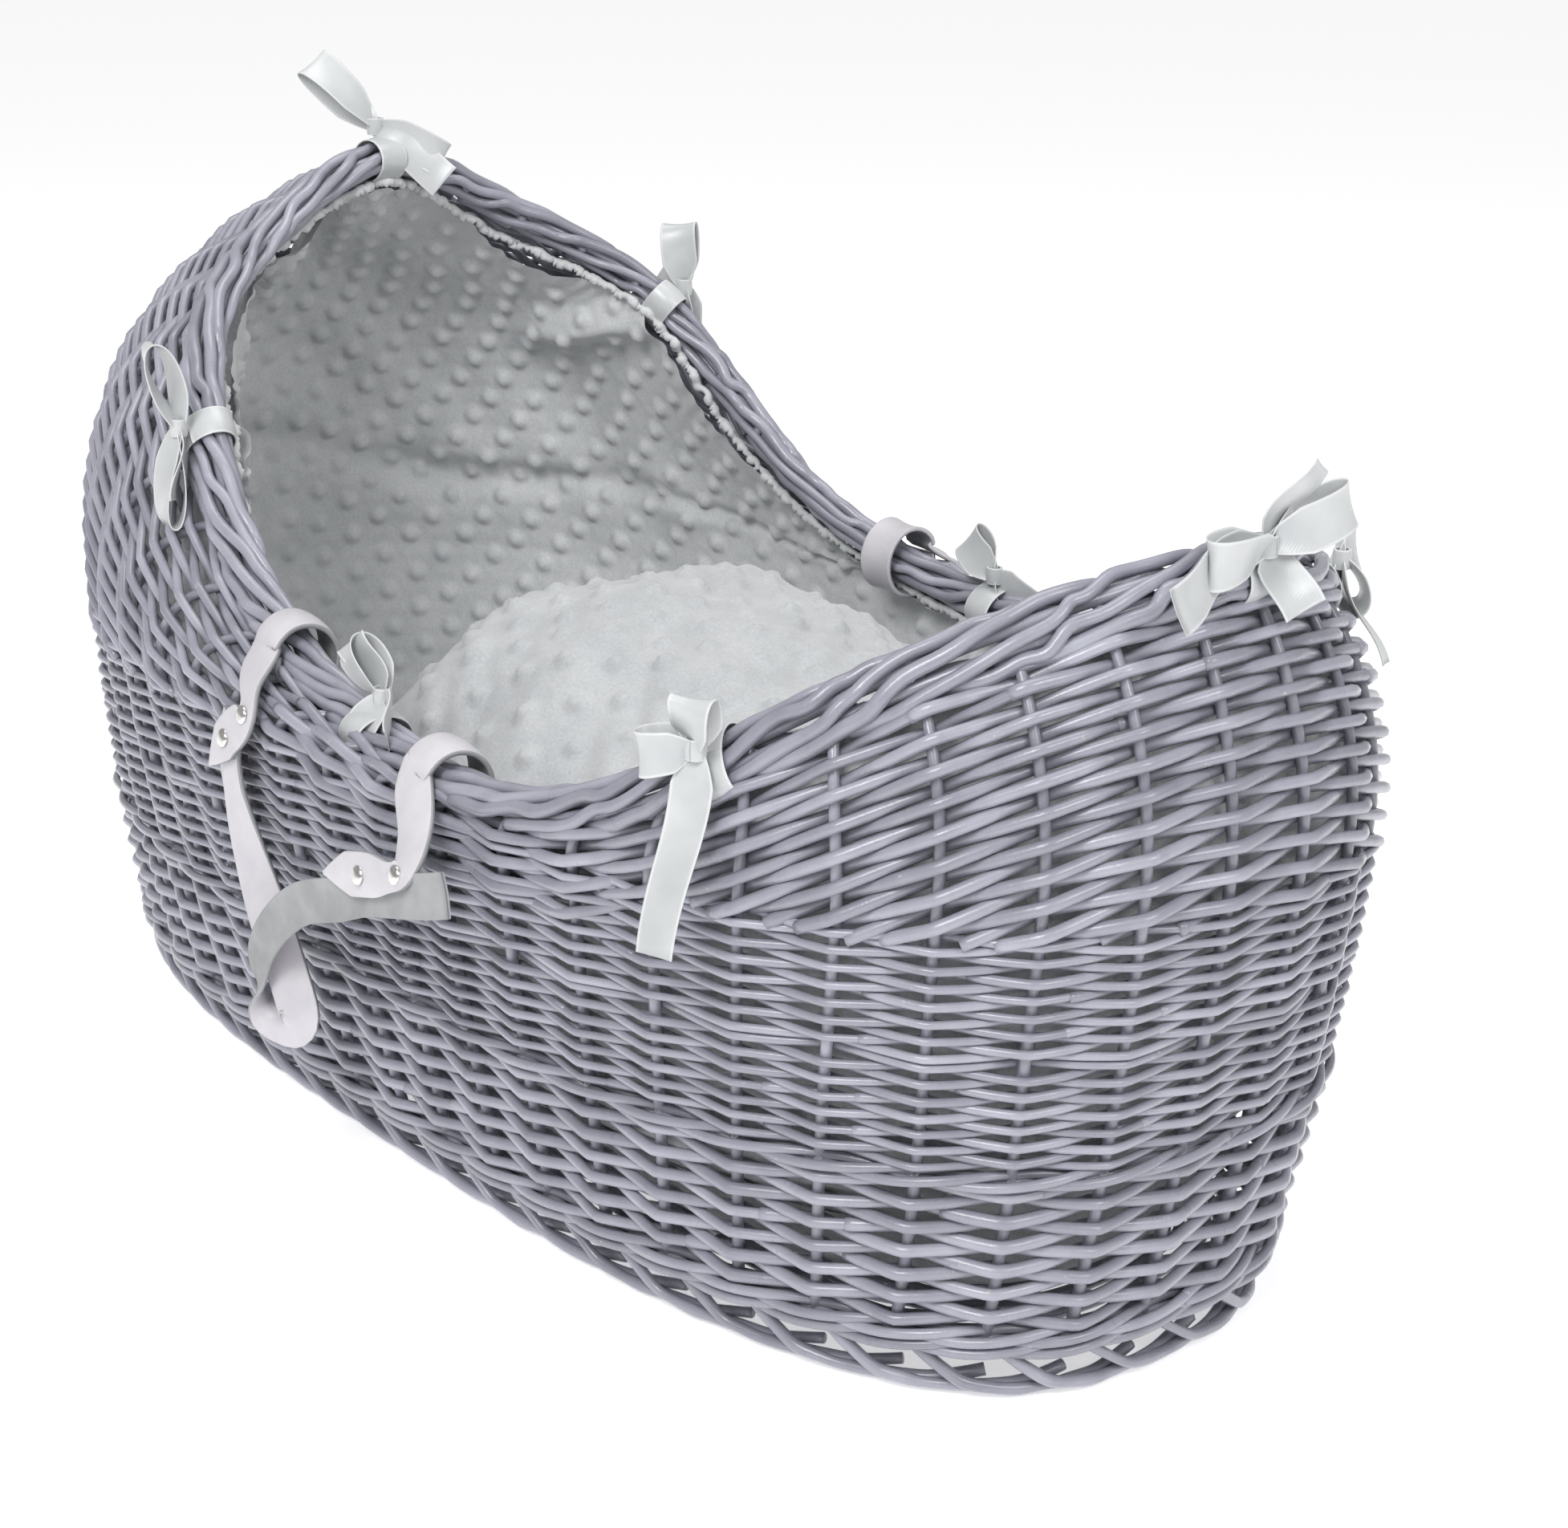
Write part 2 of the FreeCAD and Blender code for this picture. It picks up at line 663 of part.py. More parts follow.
compound("liner_hem", [hem_half(0.0), hem_half(0.5)])


# ---------------------------------------------------------------- coverlet
def arch_wire(place, half_width, height, level):
    """Arched outline across the basket at one place along it."""
    count = 12
    points = []
    for step in range(count + 1):
        angle = math.pi * step / count
        points.append(Vector(place, half_width * signed_power(math.cos(angle), 0.8),
                             level + height * math.sin(angle) ** 0.8))
    curve = Part.BSplineCurve()
    curve.interpolate(points)
    return Part.Wire([curve.toShape(), Part.LineSegment(points[-1], points[0]).toShape()])


def rounded_rise(share, sharpness):
    """Rises steeply from 0 to 1 as a share goes from 0 to 1."""
    rest = 1.0 - min(max(share, 0.0), 1.0)
    return (1.0 - rest ** sharpness) ** (1 / sharpness)


COVERLET_LENGTH = dim("coverlet_front") - dim("coverlet_back")
COVERLET_ROUNDING = 3.0


def coverlet_size(place, shrink):
    """Half width and height of the quilt at a place, less a shrink on every side."""
    share = (place - dim("coverlet_back") - shrink) / COVERLET_LENGTH
    plan = rounded_rise(share / 0.35, COVERLET_ROUNDING)
    rise = rounded_rise(share / 0.30, COVERLET_ROUNDING)
    fall = 1.0 - dim("coverlet_fall") * max(share - 0.30, 0.0) / 0.70
    taper = 1.0 - dim("coverlet_taper") * max(share - 0.65, 0.0) / 0.35
    return (dim("coverlet_half_width") * plan * taper - shrink,
            dim("coverlet_crown") * rise * fall - shrink)


def coverlet_form(start, end, shrink, level):
    shares = (0.0, 0.03, 0.09, 0.2, 0.4, 0.7, 1.0)
    wires = []
    for share in shares:
        place = start + (end - start) * share
        half_width, height = coverlet_size(place, shrink)
        wires.append(arch_wire(place, half_width, height, level))
    return Part.makeLoft(wires, True, True)


quilt = dim("coverlet_thickness")
coverlet_gap = 0.5
top_start = dim("coverlet_back") + 4
coverlet_outer = coverlet_form(top_start, dim("coverlet_fold"), 0, dim("coverlet_level"))
coverlet_inner = coverlet_form(top_start + quilt, dim("coverlet_fold") + 1, quilt,
                               dim("coverlet_level") - 1)
feature("coverlet_top", coverlet_outer.cut(coverlet_inner))
tucked_start = dim("coverlet_fold") + coverlet_gap
tucked_outer = coverlet_form(tucked_start, dim("coverlet_front"), 0, dim("coverlet_level"))
tucked_inner = coverlet_form(tucked_start - 1, dim("coverlet_front") + 1, quilt,
                             dim("coverlet_level") - 1)
feature("coverlet_tucked_end", tucked_outer.cut(tucked_inner))


# ---------------------------------------------------------------- strap handles
def handle_frame(side):
    """Rear loop's centre, the hinge line, the outward and upward directions and the loops' spacing."""
    rear, front = loop_centres(side)
    along = (front - rear).normalize()
    outward = Vector(-along.y, along.x, 0).normalize() * SIDES[side]
    up = Vector(0, 0, 1)
    return rear, along, outward, up, (front - rear).Length


def strap_profile():
    """Middle line of the hanging strap, as (outward, up) pairs from the loop's centre."""
    radius = dim("loop_inner_radius") + dim("strap_thickness") / 2
    lean = math.radians(dim("strap_lean"))
    start = (radius * math.sin(lean), radius * math.cos(lean))
    knee = (dim("strap_knee_out"), dim("strap_knee_up"))
    foot = (dim("strap_foot_out"), -dim("strap_drop"))
    return [start, knee, foot]


def strap_sheet(side, near_share, far_share):
    """Bent strap as a thin sheet between two distances along the hinge line."""
    rear, along, outward, up = handle_frame(side)[:4]
    middle = strap_profile()
    half = dim("strap_thickness") / 2

    def shifted(distance):
        line = []
        for step, point in enumerate(middle):
            before = middle[max(step - 1, 0)]
            after = middle[min(step + 1, len(middle) - 1)]
            run = (after[0] - before[0], after[1] - before[1])
            size = math.hypot(*run)
            line.append((point[0] - run[1] / size * distance, point[1] + run[0] / size * distance))
        return line

    outline = shifted(half) + list(reversed(shifted(-half)))
    corners = [rear + along * near_share + outward * out + up * rise for out, rise in outline]
    face = Part.Face(Part.makePolygon(corners + corners[:1]))
    return face.extrude(along * (far_share - near_share))


def strap_loop(centre, direction):
    width = dim("strap_width")
    start = centre - direction * (width / 2)
    outer = Part.makeCylinder(dim("loop_inner_radius") + dim("strap_thickness"), width, start, direction)
    inner = Part.makeCylinder(dim("loop_inner_radius"), width, start, direction)
    return outer.cut(inner)


def handle_strap(side):
    """One leather strap: two loops round the border and the hanging bow between them."""
    rear, along, outward, up, span = handle_frame(side)
    half_width = dim("strap_width") / 2
    sheet_shape = strap_sheet(side, -half_width, span + half_width)
    bend = dim("strap_bend_radius")
    window_bottom = -dim("strap_drop") + dim("strap_width")
    depth = 4 * dim("strap_drop")

    def prism(low_along, high_along, low_up, high_up):
        corners = [rear + along * a + up * b - outward * (depth / 2)
                   for a, b in ((low_along, low_up), (high_along, low_up),
                                (high_along, high_up), (low_along, high_up))]
        block = Part.Face(Part.makePolygon(corners + corners[:1])).extrude(outward * depth)
        bottom_edges = [edge for edge in block.Edges
                        if abs(abs(edge.tangentAt(edge.FirstParameter).dot(outward)) - 1) < 1e-6
                        and (edge.CenterOfMass - rear).dot(up) < low_up + dim("strap_width")]
        return block.makeFillet(bend if low_up > -dim("strap_drop") else bend + dim("strap_width"),
                                bottom_edges)

    outline = prism(-half_width, span + half_width, -dim("strap_drop") - 0.01, 60)
    window = prism(half_width, span - half_width, window_bottom, 70)
    bow = sheet_shape.common(outline).cut(window)
    loops = [strap_loop(centre, along) for centre in loop_centres(side)]
    bores = [Part.makeCylinder(dim("loop_inner_radius"), dim("strap_width") + 2,
                               centre - along * (dim("strap_width") / 2 + 1), along)
             for centre in loop_centres(side)]
    strap = bow.fuse(loops).removeSplitter()
    for bore in bores:
        strap = strap.cut(bore)
    for place in rivet_places(side):
        strap = strap.cut(rivet_shank(side, place))
    return strap


def rivet_places(side):
    """Rivet centres as distances along the hinge line and shares of the sloping run."""
    span = handle_frame(side)[4]
    return [(along, share) for along in (0.0, span) for share in dim_pair("rivet_share")]


def dim_pair(alias):
    return dim(alias + "_upper"), dim(alias + "_lower")


def rivet_axis(side, place):
    rear, along, outward, up = handle_frame(side)[:4]
    knee, foot = strap_profile()[1:]
    distance, share = place
    out = knee[0] + (foot[0] - knee[0]) * share
    rise = knee[1] + (foot[1] - knee[1]) * share
    run = Vector(foot[0] - knee[0], foot[1] - knee[1], 0).normalize()
    direction = (outward * -run.y + up * run.x).normalize()
    return rear + along * distance + outward * out + up * rise, direction


def rivet_shank(side, place):
    centre, direction = rivet_axis(side, place)
    length = dim("strap_thickness") + 0.6
    return Part.makeCylinder(dim("rivet_shank_diameter") / 2, length,
                             centre - direction * (length / 2), direction)


def rivet(side, place):
    """Domed rivet: a head outside, a flat cap inside and a shank between them."""
    centre, direction = rivet_axis(side, place)
    head_radius = dim("rivet_head_diameter") / 2
    rise = dim("rivet_head_height")
    ball_radius = (head_radius ** 2 + rise ** 2) / (2 * rise)
    face = centre + direction * (dim("strap_thickness") / 2)
    ball = Part.makeSphere(ball_radius, face - direction * (ball_radius - rise))
    collar = Part.makeCylinder(head_radius, rise + 1, face, direction)
    cap_height = 0.8
    back = centre - direction * (dim("strap_thickness") / 2 + cap_height)
    cap = Part.makeCylinder(head_radius * 0.8, cap_height, back, direction)
    shank = Part.makeCylinder(dim("rivet_shank_diameter") / 2, dim("strap_thickness"),
                              centre - direction * (dim("strap_thickness") / 2), direction)
    return ball.common(collar).fuse([shank, cap])


for side in SIDES:
    feature(side + "_handle_strap", handle_strap(side))
    compound(side + "_handle_rivets", [rivet(side, place) for place in rivet_places(side)])


# ---------------------------------------------------------------- ribbon bows
def ribbon_strip(points, width_direction, width, thickness):
    """Flat ribbon whose edge follows a run of points."""
    strips = []
    for start, end in zip(points, points[1:]):
        run = (end - start).normalize()
        across = width_direction - run * width_direction.dot(run)
        across = across.normalize() * (width / 2)
        face_normal = run.cross(across).normalize() * (thickness / 2)
        corners = [start - across - face_normal, start + across - face_normal,
                   start + across + face_normal, start - across + face_normal]
        strips.append(Part.Face(Part.makePolygon(corners + corners[:1])).extrude(end - start))
    return strips


def ribbon_bow(turn, loops, tails):
    """Knot outside the border with flat loops and tails that point along given directions.

    A direction is (along the rim, up, outward); loops give a length, tails a length too.
    """
    normal = wall_normal(turn, level_below_rim(turn, dim("border_height") / 2))
    centre = border_centre(turn)
    outward = (plan_inset(1.0, turn, 0) - plan_inset(1.0, turn, 1)).normalize()
    knot_offset = dim("border_height") / 2 + dim("knot_radius") + dim("knot_gap")
    knot_centre = centre + (normal + outward).normalize() * knot_offset
    up = Vector(0, 0, 1)
    along = up.cross(outward).normalize()
    shape = Part.makeSphere(dim("knot_radius"), knot_centre)
    width = dim("ribbon_width")
    for (side_share, up_share, out_share), length, kind in (
            [item + ("loop",) for item in loops] + [item + ("tail",) for item in tails]):
        direction = (along * side_share + up * up_share + outward * out_share).normalize()
        across = direction.cross(outward)
        across = across.normalize() if across.Length > 0.2 else along
        thickness = dim("loop_puff") if kind == "loop" else dim("ribbon_thickness")
        for strip in ribbon_strip([knot_centre, knot_centre + direction * length], across, width, thickness):
            shape = shape.fuse(strip)
    return shape


BOWS = {
    "ribbon_bow_hood_top": (0.500, [((0.5, 0.8, 0.6), 66), ((-0.8, 0.3, -0.3), 44)],
                            [((-0.6, 0.4, -0.3), 50)]),
    "ribbon_bow_hood_near": (0.6290, [((-0.1, 1.0, 0.25), 56), ((0.1, -1.0, 0.85), 50)], []),
    "ribbon_bow_hood_far": (0.3940, [((0.1, 1.0, 0.1), 46), ((0.1, -1.0, 0.85), 40)], []),
    "ribbon_bow_side_near": (0.7517, [((-0.8, 0.8, 0.1), 42), ((0.2, -1.0, 1.10), 34)],
                             [((0.8, -0.5, 0.7), 44)]),
    "ribbon_bow_side_far": (0.2406, [((0.6, 0.8, 0.1), 42), ((0.2, -1.0, 1.10), 34)],
                            [((-0.8, -0.5, 0.7), 44)]),
    "ribbon_bow_foot_near": (0.8791, [((-0.9, -0.1, 0.1), 36), ((0.0, 1.0, 0.1), 32)],
                             [((0.1, -1.0, 0.45), 90)]),
    "ribbon_bow_foot_far": (0.0799, [((0.9, 0.2, 0.1), 36), ((0.2, -1.0, 0.6), 32)],
                            [((-0.3, -1.0, 0.5), 56)]),
    "ribbon_bow_foot_end": (0.0069, [((-0.9, 0.1, 0.1), 62), ((0.9, 0.4, 0.2), 72)],
                            [((0.5, 0.9, 0.2), 62), ((0.4, -0.9, 0.7), 42)]),
}
for label, (turn, loops, tails) in BOWS.items():
    feature(label, ribbon_bow(turn, loops, tails))

# ---------------------------------------------------------------- check and write
doc.recompute()
for item in doc.Objects:
    if "Invalid" in item.State or "Error" in item.State:
        raise RuntimeError("failed object: " + item.Label)
for node in nodes:
    if node.Shape.isNull() or not node.Shape.isValid():
        raise RuntimeError("bad shape: " + node.Label)
    if not node.Shape.Solids:
        raise RuntimeError("no solid in: " + node.Label)

os.makedirs("parts", exist_ok=True)
for node in nodes:
    node.Shape.exportStep("parts/%s.step" % node.Label)
    box = node.Shape.BoundBox
    print("%-24s %3d solids %9.1f cm3  x %6.0f %6.0f  y %6.0f %6.0f  z %6.0f %6.0f" % (
        node.Label, len(node.Shape.Solids), node.Shape.Volume / 1000,
        box.XMin, box.XMax, box.YMin, box.YMax, box.ZMin, box.ZMax))
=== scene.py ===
import json
import math

import bpy
import numpy as np
from mathutils import Matrix, Vector, kdtree


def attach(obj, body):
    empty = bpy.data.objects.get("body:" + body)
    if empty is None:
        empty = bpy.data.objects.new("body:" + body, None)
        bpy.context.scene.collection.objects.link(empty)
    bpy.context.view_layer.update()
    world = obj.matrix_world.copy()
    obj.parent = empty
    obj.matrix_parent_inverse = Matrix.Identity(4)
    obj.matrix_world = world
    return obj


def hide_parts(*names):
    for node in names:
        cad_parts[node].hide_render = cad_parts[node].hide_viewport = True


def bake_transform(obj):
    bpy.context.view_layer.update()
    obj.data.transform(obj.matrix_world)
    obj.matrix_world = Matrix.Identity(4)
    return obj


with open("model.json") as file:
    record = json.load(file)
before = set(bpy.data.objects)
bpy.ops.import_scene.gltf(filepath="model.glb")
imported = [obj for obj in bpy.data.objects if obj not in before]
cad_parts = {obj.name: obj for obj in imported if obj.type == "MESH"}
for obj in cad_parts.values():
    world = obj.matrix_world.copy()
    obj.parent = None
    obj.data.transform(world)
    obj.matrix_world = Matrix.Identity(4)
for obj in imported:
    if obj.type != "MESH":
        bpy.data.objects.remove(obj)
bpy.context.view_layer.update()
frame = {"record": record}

MM = 0.001
UP = np.array([0.0, 0.0, 1.0])

# -------- wall of the basket
FLOOR_OVAL = {"length": 0.400, "width": 0.161, "shift": -0.023, "square": 2.84}
WAIST_OVAL = {"length": 0.411, "width": 0.197, "shift": -0.009}
BELLY_OVAL = {"length": 0.420, "width": 0.221, "shift": 0.0, "square": 2.43}
SHOULDER = 0.231  # height up to which the wall's outlines are level
FULLNESS = 0.66  # how far the wall goes on rising before it bends to the rim
HOOD_REACH = 0.35
HOOD_DIP = -0.067
RIM_LENGTH = [0.371, 0.289, 0.173, 0.029, -0.099, -0.194, -0.238, -0.244]
RIM_WIDTH = [0.0, 0.146, 0.187, 0.179, 0.176, 0.143, 0.067, 0.0]
RIM_HEIGHT = [0.382, 0.326, 0.257, 0.250, 0.302, 0.399, 0.450, 0.476]  # foot end to hood
STAKES = 48
RING_STEPS = 960
LOW_STEPS = 24
HIGH_STEPS = 48


def signed_power(value, exponent):
    return np.sign(value) * np.abs(value) ** exponent


def unit(vectors):
    return vectors / np.maximum(np.linalg.norm(vectors, axis=-1, keepdims=True), 1e-12)


def run_lengths(points):
    """Length of a polyline up to each of its points."""
    steps = np.linalg.norm(np.diff(points, axis=0), axis=1)
    return np.concatenate([[0.0], np.cumsum(steps)])


def by_share(points, shares):
    """Points at shares of a polyline's length."""
    runs = run_lengths(points)
    runs /= runs[-1]
    return np.stack([np.interp(shares, runs, points[:, axis]) for axis in range(3)], axis=1)


def through_three(start, middle, end, level):
    """Parabola through values at the levels 0, 0.5 and 1."""
    return (start * (level - 0.5) * (level - 1) / 0.5 - middle * level * (level - 1) / 0.25
            + end * level * (level - 0.5) / 0.5)


def oval(level, turns):
    """Points of the wall's outline at a level between the floor (0) and the shoulder (1)."""
    length, width, shift = [through_three(FLOOR_OVAL[key], WAIST_OVAL[key], BELLY_OVAL[key], level)
                            for key in ("length", "width", "shift")]
    square = FLOOR_OVAL["square"] * (1 - level) + BELLY_OVAL["square"] * level
    angle = np.linspace(0, 2 * math.pi, 721)
    ring = np.stack([shift + length * signed_power(np.cos(angle), 2 / square),
                     width * signed_power(np.sin(angle), 2 / square),
                     np.full_like(angle, level * SHOULDER)], axis=1)
    return by_share(ring, turns)


def closed_spline(knots, count):
    """Smooth closed curve through points, by chord length."""
    total = len(knots)
    steps = np.linalg.norm(np.roll(knots, -1, axis=0) - knots, axis=1)
    system = np.zeros((total, total))
    right = np.zeros((total, 3))
    for here in range(total):
        before, after = (here - 1) % total, (here + 1) % total
        system[here, before] += steps[before]
        system[here, here] += 2 * (steps[before] + steps[here])
        system[here, after] += steps[here]
        right[here] = 6 * ((knots[after] - knots[here]) / steps[here]
                           - (knots[here] - knots[before]) / steps[before])
    bend = np.linalg.solve(system, right)
    starts = np.concatenate([[0.0], np.cumsum(steps)])
    places = np.linspace(0, starts[-1], count)
    piece = np.clip(np.searchsorted(starts, places, side="right") - 1, 0, total - 1)
    step = steps[piece][:, None]
    high = ((places - starts[piece])[:, None]) / step
    low = 1 - high
    after = (piece + 1) % total
    return (low * knots[piece] + high * knots[after]
            + ((low ** 3 - low) * bend[piece] + (high ** 3 - high) * bend[after]) * step ** 2 / 6)


def wall_grids():
    """Points and normals of the wall's outer face, with the length from shoulder to rim."""
    turns = np.arange(RING_STEPS) / RING_STEPS
    half = np.stack([RIM_LENGTH, RIM_WIDTH, RIM_HEIGHT], axis=1)
    mirrored = half[-2:0:-1] * [1, -1, 1]
    rim = by_share(closed_spline(np.concatenate([half, mirrored]), 1441), turns)
    rings = [oval(step / LOW_STEPS, turns) for step in range(LOW_STEPS + 1)]
    start = rings[-1]
    climb = unit(start - oval(7 / 8, turns))
    reach = np.linalg.norm(rim - start, axis=1, keepdims=True)
    hood = np.maximum(-np.cos(2 * math.pi * turns), 0)[:, None]
    low_control = start + climb * reach * FULLNESS
    high_control = rim + reach * hood * np.array([-HOOD_REACH, 0, HOOD_DIP])
    share = np.linspace(0, 1, 61)[None, :, None]
    curves = (start[:, None] * (1 - share) ** 3 + low_control[:, None] * 3 * share * (1 - share) ** 2
              + high_control[:, None] * 3 * share ** 2 * (1 - share) + rim[:, None] * share ** 3)
    places = np.linspace(0, 1, HIGH_STEPS + 1)
    upper = np.stack([by_share(curve, places) for curve in curves])
    points = np.concatenate([np.stack(rings, axis=1)[:, :-1], upper], axis=1)
    around = np.roll(points, -1, axis=0) - np.roll(points, 1, axis=0)
    normals = unit(np.cross(around, np.gradient(points, axis=1)))
    lengths = np.linalg.norm(np.diff(upper, axis=1), axis=2).sum(axis=1)
    return points, normals, lengths


WALL, NORMALS, CLIMB = wall_grids()


def on_grid(grid, turn, level):
    """Value of a wall grid at turns round the basket and levels: 0 floor, 1 shoulder, 2 rim."""
    turn, level = np.broadcast_arrays(np.asarray(turn, float), np.asarray(level, float))
    column = (turn % 1.0) * RING_STEPS
    row = np.where(level < 1, level * LOW_STEPS, LOW_STEPS + (level - 1) * HIGH_STEPS)
    row = np.clip(row, 0, LOW_STEPS + HIGH_STEPS - 1e-6)
    left = np.floor(column).astype(int)
    low = np.floor(row).astype(int)
    across = (column - left)[..., None]
    up = (row - low)[..., None]
    left, right = left % RING_STEPS, (left + 1) % RING_STEPS
    return ((1 - across) * ((1 - up) * grid[left, low] + up * grid[left, low + 1])
            + across * ((1 - up) * grid[right, low] + up * grid[right, low + 1]))


def climb_length(turn):
    """Length of the wall from the shoulder up to the rim."""
    return np.interp(turn, np.arange(RING_STEPS) / RING_STEPS, CLIMB, period=1)


def below_rim(turn, distance):
    """Level that lies a distance down the wall from the rim."""
    length = climb_length(turn)
    return np.where(distance <= length, 2 - distance / length, 1 - (distance - length) / SHOULDER)


def normal_at(turn, level):
    return unit(on_grid(NORMALS, turn, level))


def inside(turn, level, depth):
    """Points a depth inside the wall's outer face."""
    depth = np.asarray(depth, float)
    return on_grid(WALL, turn, level) - normal_at(turn, level) * depth[..., None]


def smooth_noise(places, seed, waves=5, low=1.0, high=4.0):
    """Seeded sum of sines, mostly between -1 and 1."""
    source = np.random.default_rng(seed)
    total = np.zeros_like(np.asarray(places, float))
    for _ in range(waves):
        total += np.sin(places * source.uniform(low, high) * 2 * math.pi + source.uniform(0, 7))
    return total / waves ** 0.5


# -------- materials
def grey(value):
    return (value, value, value)


class Surface:
    """A principled material, with the node patterns that several surfaces share."""

    def __init__(self, name):
        self.material = bpy.data.materials.new(name)
        self.material.use_nodes = True
        self.nodes = self.material.node_tree.nodes
        self.links = self.material.node_tree.links
        self.inputs = self.nodes["Principled BSDF"].inputs

    def fix(self, **constants):
        """Constants set on the shader's own sockets; an underscore stands for a space."""
        for socket, value in constants.items():
            self.inputs[socket.replace("_", " ")].default_value = value

    def node(self, kind, **constants):
        node = self.nodes.new(kind)
        for socket, value in constants.items():
            node.inputs[socket].default_value = value
        return node

    def place_on_object(self, node):
        coordinates = self.nodes.new("ShaderNodeTexCoord")
        self.links.new(coordinates.outputs["Object"], node.inputs["Vector"])
        return node

    def noise(self, scale, detail):
        node = self.node("ShaderNodeTexNoise", Scale=scale, Detail=float(detail))
        return self.place_on_object(node).outputs["Fac"]

    def ramp(self, source, *stops):
        node = self.nodes.new("ShaderNodeValToRGB")
        while len(node.color_ramp.elements) < len(stops):
            node.color_ramp.elements.new(0.5)
        for element, (place, colour) in zip(node.color_ramp.elements, stops):
            element.position = place
            element.color = (*colour, 1)
        self.links.new(source, node.inputs["Fac"])
        return node.outputs["Color"]

    def mix(self, factor, first, second, mode="MIX"):
        node = self.nodes.new("ShaderNodeMix")
        node.data_type = "RGBA"
        node.blend_type = mode
        for value, socket in ((factor, node.inputs[0]), (first, node.inputs[6]), (second, node.inputs[7])):
            if isinstance(value, (float, tuple)):
                socket.default_value = value
            else:
                self.links.new(value, socket)
        return node.outputs[2]

    def join(self, source, socket):
        self.links.new(source, self.inputs[socket])

    def bump(self, *heights):
        """Chain of bumps, each a (height, strength, distance)."""
        normal = None
        for height, strength, distance in heights:
            node = self.node("ShaderNodeBump", Strength=strength, Distance=distance)
            self.links.new(height, node.inputs["Height"])
            if normal:
                self.links.new(normal, node.inputs["Normal"])
            normal = node.outputs["Normal"]
        self.join(normal, "Normal")


def painted_willow():
    """Grey paint that differs from rod to rod, with brown chips."""
    it = Surface("painted willow")
    rod_tone = it.nodes.new("ShaderNodeNewGeometry").outputs["Random Per Island"]
    tone = it.ramp(rod_tone, (0.0, (0.235, 0.237, 0.280)), (0.5, (0.290, 0.292, 0.343)),
                   (1.0, (0.340, 0.342, 0.397)))
    blotch = it.ramp(it.noise(55, 5), (0.3, (0.86, 0.86, 0.87)), (0.7, grey(1.08)))
    colour = it.mix(1.0, tone, blotch, "MULTIPLY")
    chips = it.ramp(it.noise(210, 6), (0.0, grey(0)), (0.70, grey(0)), (0.78, grey(1)))
    it.join(it.mix(chips, colour, (0.46, 0.43, 0.41, 1)), "Base Color")
    it.join(it.ramp(it.noise(90, 3), (0.25, grey(0.24)), (0.75, grey(0.40))), "Roughness")
    it.fix(Specular_IOR_Level=0.55, Coat_Weight=0.30, Coat_Roughness=0.18)
    it.bump((it.noise(150, 4), 0.35, 0.0010), (it.noise(900, 3), 0.25, 0.0003))
    return it.material


def plush(name, colour, dark):
    it = Surface(name)
    wide = it.ramp(it.noise(38, 6), (0.30, dark), (0.68, colour))
    pile = it.ramp(it.noise(650, 5), (0.3, grey(0.90)), (0.7, grey(1.06)))
    it.join(it.mix(1.0, wide, pile, "MULTIPLY"), "Base Color")
    it.fix(Roughness=0.92, Specular_IOR_Level=0.18, Sheen_Weight=0.45, Sheen_Roughness=0.45)
    it.bump((it.noise(120, 5), 0.35, 0.0012), (it.noise(1400, 3), 0.4, 0.0004))
    return it.material


def satin():
    """Ribbon with a duller, paler stripe along both edges."""
    it = Surface("satin ribbon")
    attribute = it.nodes.new("ShaderNodeAttribute")
    attribute.attribute_name = "edge"
    edge = attribute.outputs["Fac"]
    base = it.ramp(it.noise(30, 3), (0.3, (0.430, 0.445, 0.453)), (0.7, (0.560, 0.574, 0.580)))
    stripe = it.ramp(edge, (0.0, grey(0)), (0.86, grey(0)), (0.93, grey(1)))
    it.join(it.mix(stripe, base, (0.60, 0.612, 0.616, 1)), "Base Color")
    it.join(it.ramp(edge, (0.0, grey(0.30)), (0.85, grey(0.30)), (0.93, grey(0.48))), "Roughness")
    it.fix(Sheen_Weight=0.15, Specular_IOR_Level=0.6)
    ribs = it.place_on_object(it.node("ShaderNodeTexWave", Scale=420.0, Distortion=1.0))
    it.bump((ribs.outputs["Fac"], 0.12, 0.0002), (it.noise(160, 3), 0.25, 0.0006))
    return it.material


def leather(name, light, dark, rough, grain):
    it = Surface(name)
    it.join(it.ramp(it.noise(60, 6), (0.3, dark), (0.7, light)), "Base Color")
    it.fix(Roughness=rough)
    cells = it.place_on_object(it.node("ShaderNodeTexVoronoi", Scale=grain))
    it.bump((cells.outputs["Distance"], 0.25, 0.0003), (it.noise(grain * 1.7, 5), 0.3, 0.0003))
    return it.material


def metal():
    it = Surface("nickel")
    it.join(it.ramp(it.noise(300, 4), (0.3, (0.55, 0.54, 0.52)), (0.7, (0.78, 0.77, 0.75))), "Base Color")
    it.fix(Metallic=1.0)
    it.join(it.ramp(it.noise(500, 4), (0.3, grey(0.14)), (0.8, grey(0.32))), "Roughness")
    it.bump((it.noise(900, 3), 0.1, 0.0002))
    return it.material


def pale_floor():
    it = Surface("pale floor")
    it.fix(Base_Color=(0.93, 0.93, 0.935, 1), Roughness=0.9)
    it.fix(Emission_Color=(1.0, 1.0, 1.0, 1), Emission_Strength=0.50)
    return it.material


